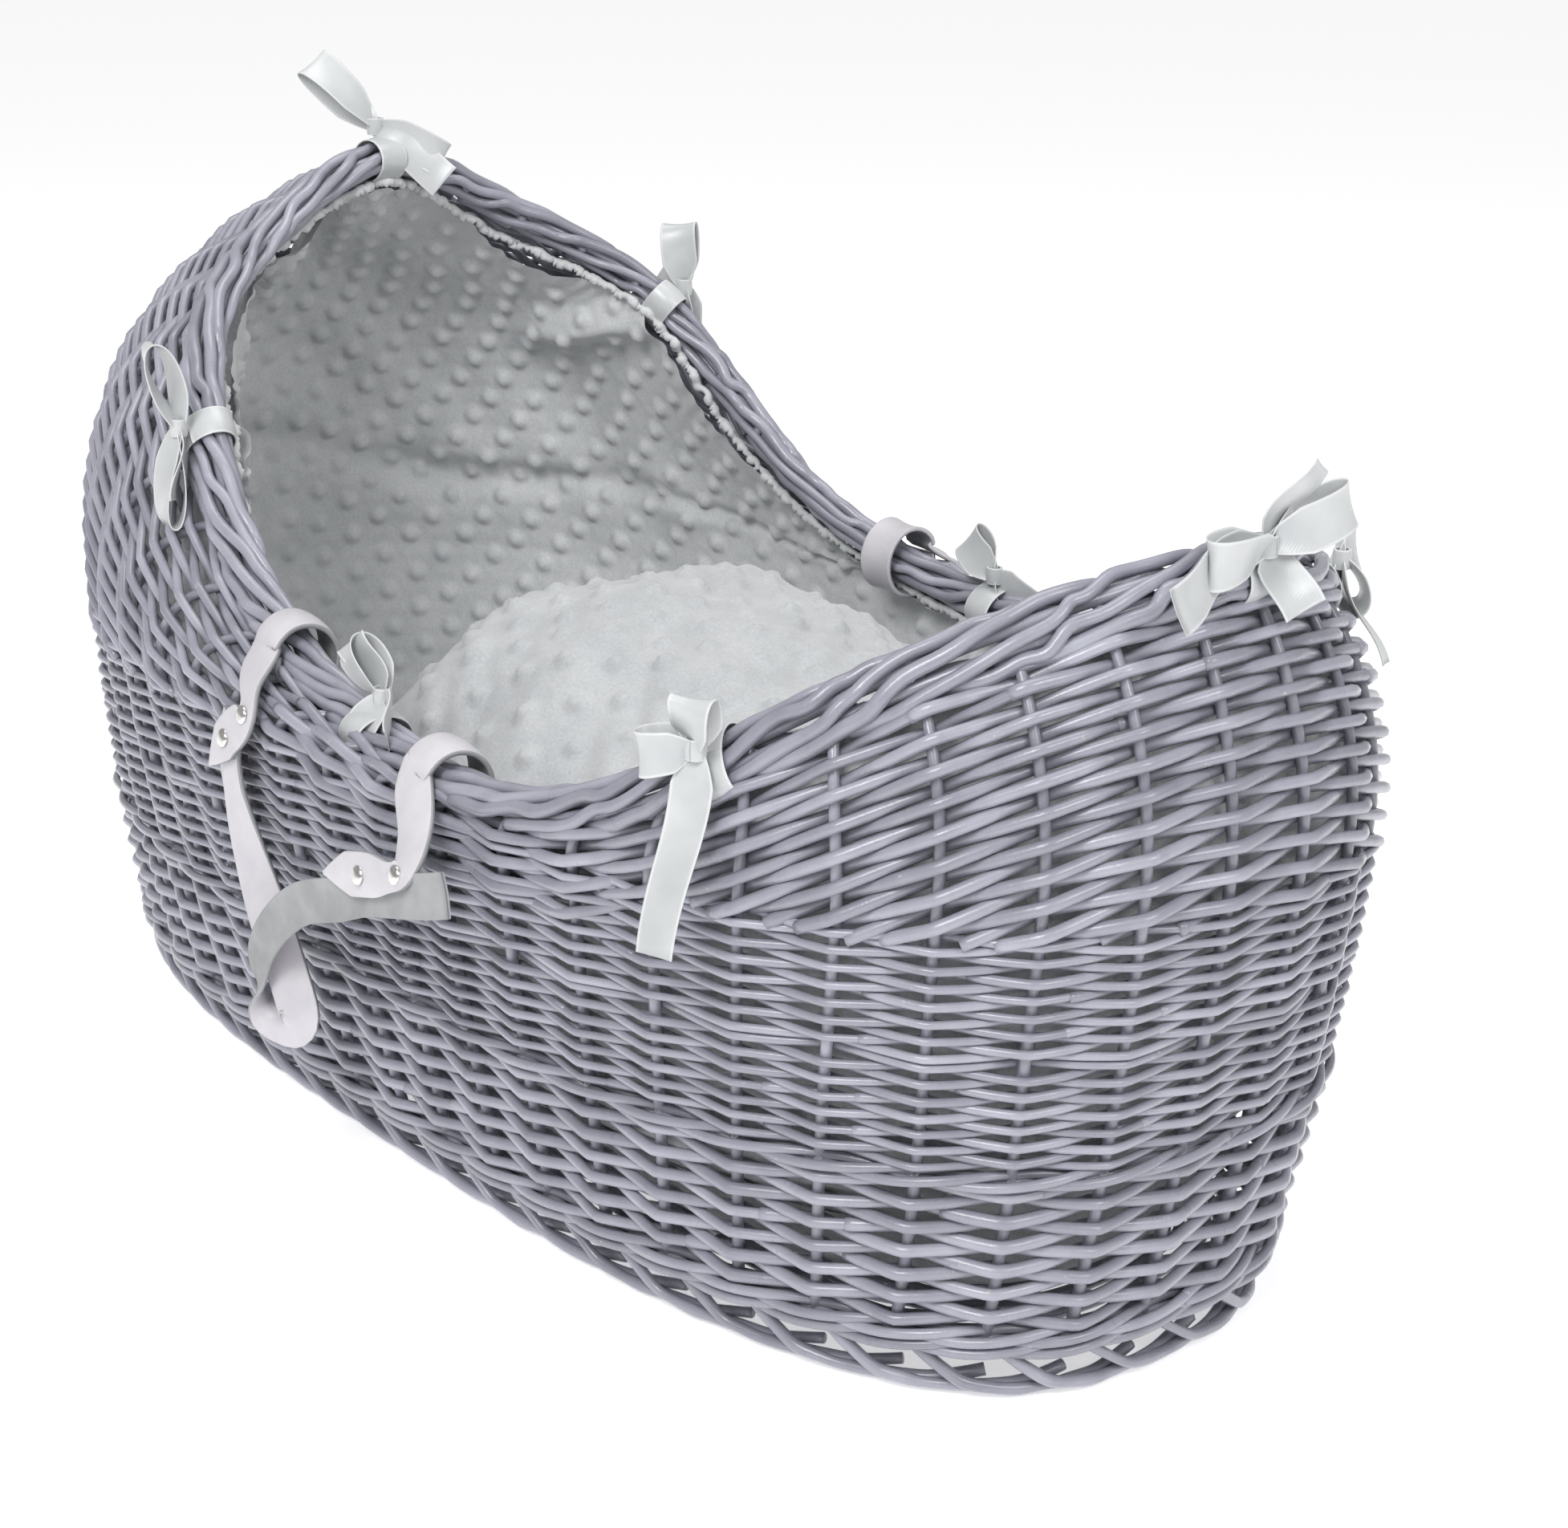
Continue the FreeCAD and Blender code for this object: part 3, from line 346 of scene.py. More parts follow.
WILLOW = painted_willow()
LINER = plush("liner plush", (0.640, 0.652, 0.660), (0.560, 0.575, 0.585))
QUILT = plush("coverlet plush", (0.490, 0.502, 0.512), (0.420, 0.433, 0.444))
COTTON = plush("mattress cotton", (0.66, 0.67, 0.68), (0.60, 0.61, 0.62))
SATIN = satin()
LEATHER = leather("strap leather", (0.57, 0.555, 0.585), (0.50, 0.488, 0.520), 0.42, 900)
SUEDE = leather("strap suede", (0.36, 0.364, 0.372), (0.28, 0.284, 0.292), 0.93, 1500)
NICKEL = metal()


# -------- meshes
def add_object(name, data):
    item = bpy.data.objects.new(name, data)
    bpy.context.scene.collection.objects.link(item)
    return item


def make_object(name, vertices, faces, material, smooth=True):
    """Mesh object from a vertex array and a list of face arrays, each (count, corners)."""
    mesh = bpy.data.meshes.new(name)
    vertices = np.asarray(vertices, dtype=np.float32)
    corners = np.concatenate([group.ravel() for group in faces])
    sizes = np.concatenate([np.full(len(group), group.shape[1]) for group in faces])
    starts = np.concatenate([[0], np.cumsum(sizes)[:-1]])
    mesh.vertices.add(len(vertices))
    mesh.vertices.foreach_set("co", vertices.ravel())
    mesh.loops.add(len(corners))
    mesh.loops.foreach_set("vertex_index", corners.astype(np.int32))
    mesh.polygons.add(len(sizes))
    mesh.polygons.foreach_set("loop_start", starts.astype(np.int32))
    mesh.polygons.foreach_set("loop_total", sizes.astype(np.int32))
    mesh.polygons.foreach_set("use_smooth", np.full(len(sizes), smooth))
    mesh.update(calc_edges=True)
    mesh.validate()
    mesh.materials.append(material)
    return add_object(name, mesh)


def keep(piece, body, slot, *stands_for):
    """Attach a piece to its body and hide the CAD nodes it stands for; the slot is not used."""
    if body:
        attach(piece, body)
    if stands_for:
        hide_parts(*stands_for)
    return piece


def grid_faces(rows, columns, closed):
    """Quads of a grid of rows * columns points; closed joins the last column to the first."""
    number = np.arange(rows * columns).reshape(rows, columns)
    after = np.roll(number, -1, axis=1)
    quads = np.stack([number[:-1], after[:-1], after[1:], number[1:]], axis=-1)
    if not closed:
        quads = quads[:, :-1]
    return quads.reshape(-1, 4)


class Rods:
    """Collects round rods and turns them into one mesh."""

    def __init__(self, sides=8):
        self.sides = sides
        self.vertices = []
        self.walls = []
        self.caps = []
        self.total = 0

    def add(self, points, radius, hint):
        """One rod along points; hint is the way its first side faces."""
        count = len(points)
        ahead = unit(np.gradient(points, axis=0))
        out = unit(hint - ahead * np.sum(hint * ahead, axis=1, keepdims=True))
        side = np.cross(ahead, out)
        radius = np.broadcast_to(radius, (count,))[:, None, None]
        angle = np.linspace(0, 2 * math.pi, self.sides, endpoint=False)[None, :, None]
        rings = points[:, None] + radius * (out[:, None] * np.cos(angle) + side[:, None] * np.sin(angle))
        ring = np.arange(self.sides)
        self.walls.append(grid_faces(count, self.sides, True) + self.total)
        self.caps.append(self.total + ring[::-1])
        self.caps.append(self.total + (count - 1) * self.sides + ring)
        self.vertices.append(rings.reshape(-1, 3))
        self.total += count * self.sides

    def lay(self, turn, level, depth, radius):
        """One rod inside the wall's outer face."""
        self.add(inside(turn, level, depth), radius, normal_at(turn, level))

    def piece(self, name, material):
        faces = [np.concatenate(self.walls), np.stack(self.caps)]
        return make_object(name, np.concatenate(self.vertices), faces, material)


# -------- wicker
def wicker(rods, name, *stands_for):
    """Painted piece of the basket made of rods."""
    return keep(rods.piece(name, WILLOW), "basket", "painted_willow", *stands_for)


STAKE_RADIUS = 2.7 * MM
STAKE_DEPTH = 7.0 * MM
SAMPLES = 12  # points along a rod between two stakes
BORDER_HEIGHT = 0.030
BORDER_THICKNESS = 0.019
KINK = 0.997  # how sharply a rod bends over a stake; 1 is a corner


def sway(phase):
    """In and out path of a rod between stakes, sharply bent over each one."""
    return np.arcsin(KINK * np.cos(math.pi * phase)) / math.asin(KINK)


def weave_row(rods, level_at, first, last, parity, radius, seed):
    """One row of randing from stake to stake, made of several rods that follow each other."""
    source = np.random.default_rng(seed)
    swing = STAKE_RADIUS + radius * 0.93
    start = first
    while start < last - 0.2:
        length = source.integers(9, 17)
        end = min(start + length, last)
        if last - end < 4:
            end = last
        places = np.arange(round(start * SAMPLES) - 2, round(end * SAMPLES) + 5) / SAMPLES
        turn = places / STAKES
        taper = np.interp(places, [start, end], [1.07, 0.90]) * source.uniform(0.95, 1.05)
        level = level_at(turn) + smooth_noise(places / 6, int(source.integers(1e6))) * 0.0012
        drift = smooth_noise(places / 5, int(source.integers(1e6))) * 0.25 * MM
        depth = STAKE_DEPTH - sway(places - 0.5 + parity) * swing + drift
        rods.lay(turn, level, depth, radius * taper)
        start = end


def straight_rows(name, bottom, top, pitch, radius, node, seed):
    """Level rows of randing between two heights."""
    rods = Rods()
    count = int(round((top - bottom) / pitch))
    for row in range(count):
        height = bottom + (row + 0.5) * (top - bottom) / count
        start = row * 5.0 % STAKES
        weave_row(rods, lambda turn, h=height: np.full_like(turn, h / SHOULDER),
                  start, start + STAKES, row % 2, radius, seed + row)
    wicker(rods, name, node)


def wale(name, heights, node, radius, swing):
    """Rounds of three-rod waling: each rod passes outside two stakes and inside one."""
    rods = Rods()
    places = np.linspace(0, STAKES + 0.1, STAKES * SAMPLES)
    turn = places / STAKES
    for round_number, height in enumerate(heights):
        for strand in range(3):
            phase = 2 * math.pi * (places - 0.5 + strand) / 3
            depth = 4.6 * MM - swing * np.cos(phase)
            level = (height + 1.9 * MM * np.sin(phase)) / SHOULDER
            level = level + smooth_noise(places / 9, 40 + round_number * 3 + strand) * 0.0015
            rods.lay(turn, level, depth, radius)
    wicker(rods, name, node)


def rim_rows(name, centre, reach, node, pitch, radius, seed):
    """Rows that run parallel to the rim and end where they meet the shoulder line."""
    rods = Rods()
    places = np.arange(-reach, reach, 0.001)
    row = 0
    while True:
        distance = BORDER_HEIGHT + 2 * MM + pitch * row
        long_enough = climb_length(centre + places) - distance > 1.5 * MM
        if not long_enough.any():
            break
        first, last = (centre + places[long_enough][[0, -1]]) * STAKES
        if last - first > 0.8:
            weave_row(rods, lambda turn, d=distance: below_rim(turn, d),
                      first, last, row % 2, radius, seed + row)
        row += 1
    return wicker(rods, name, node)


def stakes():
    rods = Rods()
    for number in range(STAKES):
        turn = (number + 0.5) / STAKES
        top = 2 - 8 * MM / climb_length(turn)
        level = np.concatenate([np.linspace(0.11, 1.0, 26), np.linspace(1.02, top, 34)])
        wobble = turn + smooth_noise(level, 900 + number, low=0.3, high=1.1) * 0.0004
        depth = np.full_like(level, STAKE_DEPTH)
        radius = STAKE_RADIUS * np.interp(level, [0, 2], [1.08, 0.92])
        rods.lay(wobble, level, depth, radius)
    wicker(rods, "stakes_rods", "stakes")


def border_frame(turn):
    """Middle line of the border, with the ways up the wall and out of it."""
    level = below_rim(turn, BORDER_HEIGHT / 2)
    centre = inside(turn, level, np.full_like(turn, BORDER_THICKNESS / 4))
    above = on_grid(WALL, turn, np.minimum(level + 0.05, 1.999))
    return centre, unit(above - on_grid(WALL, turn, level - 0.05)), normal_at(turn, level)


def rim_border():
    """Rolled border: every rod runs along the rim while it winds slowly round it."""
    rods = Rods()
    run = 6  # stakes that each rod passes
    winding = 335  # degrees that it winds round the border
    source = np.random.default_rng(5)
    for number in range(STAKES):
        share = np.linspace(0, 1, run * 12)
        turn = (number + 0.5 + run * share + 0.15 * smooth_noise(share, number)) / STAKES
        start = -125 + source.uniform(-13, 13)
        angle = np.radians(start + winding * share + 9 * smooth_noise(share * 2, 170 + number))
        radius = source.uniform(2.7, 3.6) * MM * np.interp(share, [0, 1], [1.05, 0.85])
        centre, up, out = border_frame(turn)
        loose = 1 + 0.05 * smooth_noise(share * 3, 70 + number)[:, None]
        points = (centre + up * (BORDER_HEIGHT / 2 - 3.4 * MM) * np.sin(angle)[:, None] * loose
                  + out * (BORDER_THICKNESS / 2 - 3.0 * MM) * np.cos(angle)[:, None] * loose)
        rods.add(points, radius, points - centre + up * 1e-5)
    centre, up, out = border_frame(np.linspace(0, 1.002, 700))
    for shift in (-5, 4):
        rods.add(centre + up * shift * MM, 3.0 * MM, out)
    wicker(rods, "rim_border_rods", "rim_border")


def foot_border():
    """Open foot: each stake's end turns down, sweeps along the floor and tucks up behind."""
    rods = Rods()
    run = 3.1  # stakes that each end passes
    knots = [0.0, 0.10, 0.27, 0.45, 0.80, 1.0]
    heights = [31, 22, 7.5, 3.8, 3.2, 7.5]
    depths = [8, 5, 2.5, 3.5, 8, 12]
    for number in range(STAKES):
        share = np.linspace(0, 1, 44)
        turn = (number + 0.5 + run * share) / STAKES
        blend = 0.5 - 0.5 * np.cos(math.pi * share)
        path = np.stack([np.interp(share, knots, heights), np.interp(share, knots, depths)])
        for _ in range(3):
            path[:, 1:-1] = (path[:, :-2] + 2 * path[:, 1:-1] + path[:, 2:]) / 4
        height, depth = path * MM
        radius = (2.8 + 0.25 * smooth_noise(number * 0.7 + blend, 3)) * MM
        level = np.maximum(height, radius + 0.2 * MM) / SHOULDER
        rods.lay(turn, level, depth, radius)
    wicker(rods, "foot_border_rods", "foot_ring", "foot_legs")


BASE_ROWS = 24
BASE_PITCH = 6.2 * MM
BASE_LEVEL = 25.5 * MM
BASE_MIDDLE = -0.023
STICK_COUNT = 9
STICK_SPACING = 0.074


def base():
    """Rings of rods woven over and under the sticks that cross the base."""
    rods = Rods(6)
    for row in range(BASE_ROWS):
        inset = 0.014 + row * BASE_PITCH
        turn = np.linspace(0, 1.003, 420)
        flat = normal_at(turn, 0.12) * [1, 1, 0]
        points = on_grid(WALL, turn, 0.12) - unit(flat) * inset
        sticks = (points[:, 0] - BASE_MIDDLE) / STICK_SPACING
        points[:, 2] = BASE_LEVEL + np.cos(math.pi * (sticks + row)) * 3.4 * MM
        rods.add(points, 2.6 * MM, UP)
    wicker(rods, "base_weave_rods", "base_weave")


def base_sticks():
    rods = Rods()
    middle = STICK_COUNT // 2
    for number in range(STICK_COUNT):
        place = BASE_MIDDLE + (number - middle) * STICK_SPACING
        reach = 0.122 - 0.040 * max(abs(number - middle) - 3, 0)
        across = np.linspace(-reach, reach, 40)
        bow = 0.6 * MM * smooth_noise(across * 12, number)
        points = np.stack([place + bow, across, np.full_like(across, BASE_LEVEL)], axis=1)
        rods.add(points, 3.6 * MM, UP)
    wicker(rods, "base_stick_rods", "base_sticks")


wale("bottom_wale_rods", [0.0275, 0.0335], "bottom_wale", 2.5 * MM, 4.4 * MM)
straight_rows("lower_wall_rods", 0.037, 0.1145, 0.00625, 2.85 * MM, "lower_wall_weave", 100)
wale("second_wale_rods", [0.1180], "second_wale", 2.3 * MM, 4.3 * MM)
straight_rows("upper_wall_rods_low", 0.1215, 0.1755, 0.00415, 1.98 * MM, "upper_wall_weave", 200)
straight_rows("upper_wall_rods_high", 0.1755, 0.2255, 0.00415, 1.98 * MM, "upper_wall_weave", 240)
straight_rows("shoulder_rods", 0.2255, 0.2340, 0.00425, 1.98 * MM, "shoulder_wale", 280)
rim_rows("foot_end_rods", 0.0, 0.26, "foot_end_weave", 6.5 * MM, 2.85 * MM, 300)
hood_rows = rim_rows("hood_rods", 0.5, 0.2499, "hood_weave", 6.4 * MM, 2.55 * MM, 400)
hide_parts("far_side_weave", "near_side_weave")
stakes()
rim_border()
foot_border()
base()
base_sticks()


# -------- bedding
def grid_normals(points, rows, columns):
    grid = points.reshape(rows, columns, 3)
    return unit(np.cross(np.gradient(grid, axis=1), np.gradient(grid, axis=0))).reshape(-1, 3)


def search_tree(points):
    tree = kdtree.KDTree(len(points))
    for number, point in enumerate(points):
        tree.insert(Vector(point), number)
    tree.balance()
    return tree


DOT_HEIGHT = 3.7 * MM
DOT_RADIUS = 4.5 * MM


def dotted(points, normals, dots):
    """Raise a round dimple over every dot, with a shallow ditch round it."""
    tree = search_tree(dots)
    gaps = np.array([tree.find(point)[2] for point in points.astype(float).tolist()]) / DOT_RADIUS
    lift = DOT_HEIGHT * (np.exp(-gaps ** 4) - 0.15 * np.exp(-((gaps - 1.8) / 0.6) ** 2))
    return points + normals * lift[:, None]


TIE_TURNS = np.array([0.5, 0.6289, 0.394, 0.7517, 0.2406, 0.8791, 0.0799, 0.0069])
LINER_FOOT = 0.060  # height at which the liner disappears behind the mattress
LINER_GIRTH = 2.1  # metres of gathered cloth round the rim


def liner_edge(turn):
    """Distance of the liner's top edge below the rim: drawn up at each tie, sagging between."""
    gap = np.min(np.abs((turn[:, None] - TIE_TURNS[None] + 0.5) % 1.0 - 0.5), axis=1)
    deep = 0.5 + 0.5 * np.clip(climb_length(turn) / 0.12 - 0.4, 0, 1)
    sag = 0.018 * np.clip(gap / 0.05, 0, 1) ** 1.2
    return (0.010 + sag + 0.0020 * smooth_noise(turn * 40, 8)) * deep


def hump(value, centre, spread):
    return np.exp(-((value - centre) / spread) ** 2)


def liner_depth(turns, down, level):
    """Depth behind the wall's outer face: gathers, folds, creases and the tuck at the foot."""
    around = turns * LINER_GIRTH
    hood = np.clip(-np.cos(2 * math.pi * turns), 0, 1) * np.clip((down - 0.02) / 0.06, 0, 1)
    high = np.clip((level - 0.9) / 0.25, 0, 1)
    wander = 0.7 * smooth_noise(turns * 9, 2)
    gather = np.exp(-down / 0.028) * np.sin(2 * math.pi * (around / 0.019 + wander))
    folds = (smooth_noise(around * 6 + down * 5, 21, 6, 0.3, 1.2)
             * smooth_noise(down * 8 - around * 2, 22, 4, 0.3, 1.0))
    near_fold = hump(turns, 0.590, 0.026) * hump(down, 0.075, 0.055)
    pleats = hump(turns, 0.530, 0.030) * hump(down, 0.085, 0.060) * np.sin((turns - 0.53) * 150 + down * 25)
    far_crease = hump(turns - 0.25 * (down - 0.05), 0.402, 0.008) * hump(down, 0.055, 0.05)
    back_crease = hump(level, 1.13 + 0.04 * np.sin(turns * 40), 0.045) * hood
    depth = (0.0165 + 0.0016 * gather + 0.0050 * (folds + 0.8) * high + 0.012 * hood * high
             + 0.030 * near_fold + 0.014 * pleats + 0.014 * far_crease - 0.010 * back_crease)
    tuck = np.clip((0.128 - level * SHOULDER) / 0.066, 0, 1)
    return np.maximum(depth, 0.0152) + 0.033 * tuck * tuck * (3 - 2 * tuck)


def liner_dots(points, turn, edge, whole):
    """Dots in staggered rows that follow the rim."""
    rows, columns = points.shape[:2]
    dots = []
    for number, distance in enumerate(np.arange(0.024, 0.56, 0.0225)):
        level = np.clip(below_rim(turn, np.full_like(turn, distance)), 0.15, 1.99)
        run = run_lengths(on_grid(WALL, turn, level))
        places = np.arange(0.008 + (number % 2) * 0.013, run[-1], 0.026)
        column = np.interp(places, run, np.arange(columns)).astype(int)
        down = distance - edge[column]
        on_cloth = (whole[column] - down > 0.01) & (down > 0.008)
        column, down = column[on_cloth], down[on_cloth]
        row = ((1 - down / whole[column]) * (rows - 1)).round().astype(int)
        dots.extend(points[np.clip(row, 0, rows - 1), column])
    return dots


def liner(name, first, last, columns, rows, flat, *stands_for):
    """Gathered lining between two turns, with folds under the ties and round dimples."""
    turn = np.linspace(first, last, columns)
    edge = liner_edge(turn % 1.0)
    whole = SHOULDER - LINER_FOOT + climb_length(turn) - edge
    share = np.linspace(0, 1, rows)[:, None]
    down = edge[None] + whole[None] * (1 - share)
    turns = np.broadcast_to(turn[None], down.shape)
    level = np.clip(below_rim(turns, down), 0.15, 1.999)
    points = inside(turns, level, liner_depth(turns, down, level))
    dots = liner_dots(points, turn, edge, whole)
    points = points.reshape(-1, 3)
    points = dotted(points, -grid_normals(points, rows, columns), dots)
    piece = make_object(name, points, [grid_faces(rows, columns, False)], LINER)
    keep(piece, "basket", "liner_plush", *stands_for)


def liner_hem():
    """Gathered edge of the liner, with the elastic's ruffle."""
    turn = np.linspace(0, 1.0005, 1500)
    level = np.clip(below_rim(turn, liner_edge(turn % 1.0)), 0.9, 1.999)
    ruffle = np.sin(2 * math.pi * (turn * LINER_GIRTH / 0.017 + 0.8 * smooth_noise(turn * 60, 4)))
    radius = (2.3 + 0.5 * ruffle + 0.4 * smooth_noise(turn * 50, 6)) * MM
    rods = Rods(10)
    rods.lay(turn, level, 0.0172 + 0.0008 * ruffle, radius)
    keep(rods.piece("liner_hem_ruffle", LINER), "basket", "liner_plush", "liner_hem")


liner("liner_cloth_hood", 0.25, 0.75, 460, 195, (1.05, 0.40), "liner_lower_band", "liner_hood")
liner("liner_cloth_foot", -0.25, 0.25, 440, 110, (1.05, 0.28), "liner_foot_far", "liner_foot_near")
liner_hem()

COVERLET_BACK, COVERLET_FRONT = -0.165, 0.335
COVERLET_EDGE = 0.100  # height of the quilt's edge


def coverlet_share(x):
    """Place along the quilt: 0 at its back end, 1 at its front end."""
    return (x - COVERLET_BACK) / (COVERLET_FRONT - COVERLET_BACK)


def coverlet_half_width(x):
    share = coverlet_share(x)
    back = (1 - (1 - np.clip(share / 0.34, 0, 1)) ** 2.6) ** (1 / 2.6)
    front = (1 - np.clip((share - 0.45) / 0.62, 0, 1) ** 2.6) ** (1 / 2.6)
    return 0.177 * np.maximum(back * front, 0.04)


def coverlet_height(x, y):
    """Puffed top of the quilt over its plan."""
    share = coverlet_share(x)
    rise = 1 - (1 - np.clip(share / 0.36, 0, 1)) ** 2.9
    crown = 0.108 + 0.172 * rise ** 0.8 - 0.040 * np.clip((share - 0.4) / 0.6, 0, 1)
    across = np.clip(1 - np.abs(y / coverlet_half_width(x)) ** 2.6, 0, 1) ** 0.62
    return COVERLET_EDGE + (crown - COVERLET_EDGE) * across


def coverlet_dots(top):
    """Points of the quilt's top nearest to a staggered pattern of dots."""
    tree = search_tree(top)
    dots = []
    for number, line in enumerate(np.arange(COVERLET_BACK + 0.01, COVERLET_FRONT, 0.0215)):
        for place in np.arange(-0.18 + (number % 2) * 0.0135, 0.18, 0.027):
            if abs(place) < coverlet_half_width(line) * 0.97:
                spot = (line, place, coverlet_height(line, place))
                dots.append(top[tree.find(spot)[1]])
    return dots


def coverlet():
    """Closed quilt: a puffed, dotted top, a flatter underside and a rim between them."""
    rows, columns = 190, 150
    share = np.linspace(0.0, 1.0, rows)[:, None]
    x = COVERLET_BACK + (COVERLET_FRONT - COVERLET_BACK) * (share ** 1.25)
    side = np.linspace(-1, 1, columns)[None]
    side = np.sign(side) * (1 - (1 - np.abs(side)) ** 1.35)
    y = coverlet_half_width(x) * side
    x = np.broadcast_to(x, y.shape)
    z = coverlet_height(x, y)
    puff = (4.0 * smooth_noise(x * 11 + y * 4, 31, 5, 0.4, 1.2)
            + 3.0 * smooth_noise(y * 13 - x * 5, 32, 5, 0.4, 1.2)
            + smooth_noise((x + y) * 34, 33, 4, 0.5, 1.2))
    pulled = 1.1 * hump(x, 0.20, 0.10) * np.sin(2 * math.pi * (y * 0.8 + x * 0.5) / 0.021)
    z = z + (puff + pulled) * MM * np.clip((z - COVERLET_EDGE) / 0.05, 0, 1)
    top = np.stack([x, y, z], axis=-1).reshape(-1, 3)
    normals = grid_normals(top, rows, columns)
    normals *= np.sign(normals[:, 2:] + 1e-9)
    top = dotted(top, normals, coverlet_dots(top))
    under = top * [1, 0.955, 1]
    under[:, 2] = np.clip(under[:, 2] - 0.016, 0.079, 0.30)
    top_faces = grid_faces(rows, columns, False)
    under_faces = top_faces[:, ::-1] + len(top)
    number = np.arange(len(top)).reshape(rows, columns)
    border = np.concatenate([number[0], number[1:, -1], number[-1, -2::-1], number[-2:0:-1, 0]])
    after = np.roll(border, -1)
    rim = np.stack([after, border, border + len(top), after + len(top)], axis=1)
    piece = make_object("coverlet_quilt", np.concatenate([top, under]), [top_faces, under_faces, rim], QUILT)
    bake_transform(piece)
    keep(piece, None, "coverlet_plush", "coverlet_top", "coverlet_tucked_end")


# Rings that close the mattress's top: the share of its outline and the lift
MATTRESS_CROWN = [(0.94, 0.0010), (0.8, 0.0028), (0.6, 0.0040), (0.4, 0.0045), (0.2, 0.0045), (0.02, 0.0045)]


def mattress():
    """Crowned pad with a piped seam round its top and bottom edge."""
    columns, rows = 200, 26
    angle = np.arange(columns) / columns * 2 * math.pi
    profile = np.linspace(-1, 1, rows)[:, None]
    belly = 1 - 0.05 * np.abs(profile) ** 3
    square = 2 / 2.9
    x = BASE_MIDDLE + 0.368 * belly * signed_power(np.cos(angle), square)[None]
    y = 0.134 * belly * signed_power(np.sin(angle), square)[None]
    z = np.broadcast_to(0.053 + 0.020 * signed_power(profile, 0.8), x.shape)
    side = np.stack([x, y, z], axis=-1)
    rings = [side[0] * [0.02, 0.02, 1] + [-0.0225, 0, 0], side[0] * [0.5, 0.5, 1] + [-0.0115, 0, 0], *side]
    for shrink, lift in MATTRESS_CROWN:
        ring = side[-1] * [shrink, shrink, 1] + [BASE_MIDDLE * (1 - shrink), 0, lift]
        ring[:, 2] += 0.0008 * smooth_noise(ring[:, 0] * 30, 3) * (shrink < 0.9)
        rings.append(ring)
    faces = grid_faces(len(rings), columns, True)
    caps = np.stack([np.arange(columns)[::-1], (len(rings) - 1) * columns + np.arange(columns)])
    piece = make_object("mattress_pad", np.concatenate(rings), [faces, caps], COTTON)
    keep(piece, "basket", "mattress_cotton", "mattress_core", "mattress_cover")
    rods = Rods()
    for row, lift in ((0, 0.0015), (-1, -0.0015)):
        loop = side[row] + [0, 0, lift]
        rods.add(np.concatenate([loop, loop[:3]]), 1.8 * MM, UP)
    keep(rods.piece("mattress_piping", COTTON), "basket", "mattress_cotton")


mattress()
coverlet()


# -------- ribbons
STRIP_PLACES = np.array([-1, -0.94, -0.6, -0.2, 0.2, 0.6, 0.94, 1])


def strip(name, lines, materials):
    """Flat bands, each (points, width vectors, width, thickness); a second material is the back."""
    vertices, faces, kinds, edges = [], [], [], []
    total = 0
    half_ring = len(STRIP_PLACES)
    columns = 2 * half_ring
    for points, across, width, thickness in lines:
        count = len(points)
        ahead = unit(np.gradient(points, axis=0))
        across = unit(across - ahead * np.sum(across * ahead, axis=1, keepdims=True))
        face = np.cross(ahead, across)
        width = np.broadcast_to(width, (count,))[:, None, None]
        cup = (STRIP_PLACES ** 2)[None, :, None] * width * 0.05
        spread = across[:, None] * STRIP_PLACES[None, :, None] * width / 2
        middle = points[:, None] + spread - face[:, None] * cup
        half = face[:, None] * thickness / 2
        vertices.append(np.concatenate([middle + half, (middle - half)[:, ::-1]], axis=1).reshape(-1, 3))
        faces.append(grid_faces(count, columns, True) + total)
        column = np.tile(np.arange(columns), count - 1)
        kinds.append((column >= half_ring - 1).astype(np.int32))
        for row, flip in ((0, 1), (count - 1, -1)):
            ring = total + row * columns + np.arange(columns)
            caps = [[ring[k], ring[k + 1], ring[columns - 2 - k], ring[columns - 1 - k]][::flip]
                    for k in range(half_ring - 1)]
            faces.append(np.array(caps))
            kinds.append(np.ones(len(caps), np.int32))
        edges.append(np.tile(np.abs(np.concatenate([STRIP_PLACES, STRIP_PLACES[::-1]])), count))
        total += count * columns
    piece = make_object(name, np.concatenate(vertices), faces, materials[0])
    if len(materials) > 1:
        piece.data.materials.append(materials[1])
        piece.data.polygons.foreach_set("material_index", np.concatenate(kinds))
    attribute = piece.data.attributes.new("edge", "FLOAT", "POINT")
    attribute.data.foreach_set("value", np.concatenate(edges).astype(np.float32))
    return piece


RIBBON_WIDTH = 0.0205
RIBBON_THICKNESS = 0.0006
LOOP_TWIST = 0.35
TAIL_TWIST = 0.3


def turned_about(ways, others, angle):
    """Unit width vectors turned by an angle towards another way."""
    return ways * np.cos(angle)[:, None] + others * np.sin(angle)[:, None]


def narrowed(share):
    """Ribbon's width: pinched at the knot, full after it."""
    return RIBBON_WIDTH * (0.30 + 0.70 * np.clip(share, 0, 1) ** 0.7)


def ribbon_loop(knot, direction, across, length, opening):
    """Teardrop loop that leaves the knot, turns at its far end and comes back."""
    open_way = unit(np.cross(direction, across))
    angle = np.linspace(-math.pi, math.pi, 44)
    reach = (1 + np.cos(angle)) / 2
    points = (knot + direction * length * reach[:, None]
              + open_way * (opening * np.sin(angle) * np.sqrt(reach + 0.02))[:, None]
              - UP * (0.06 * length * reach ** 2)[:, None])
    widths = turned_about(across, 0.5 * open_way, angle * LOOP_TWIST)
    return points, widths, narrowed(reach * 2.6), RIBBON_THICKNESS


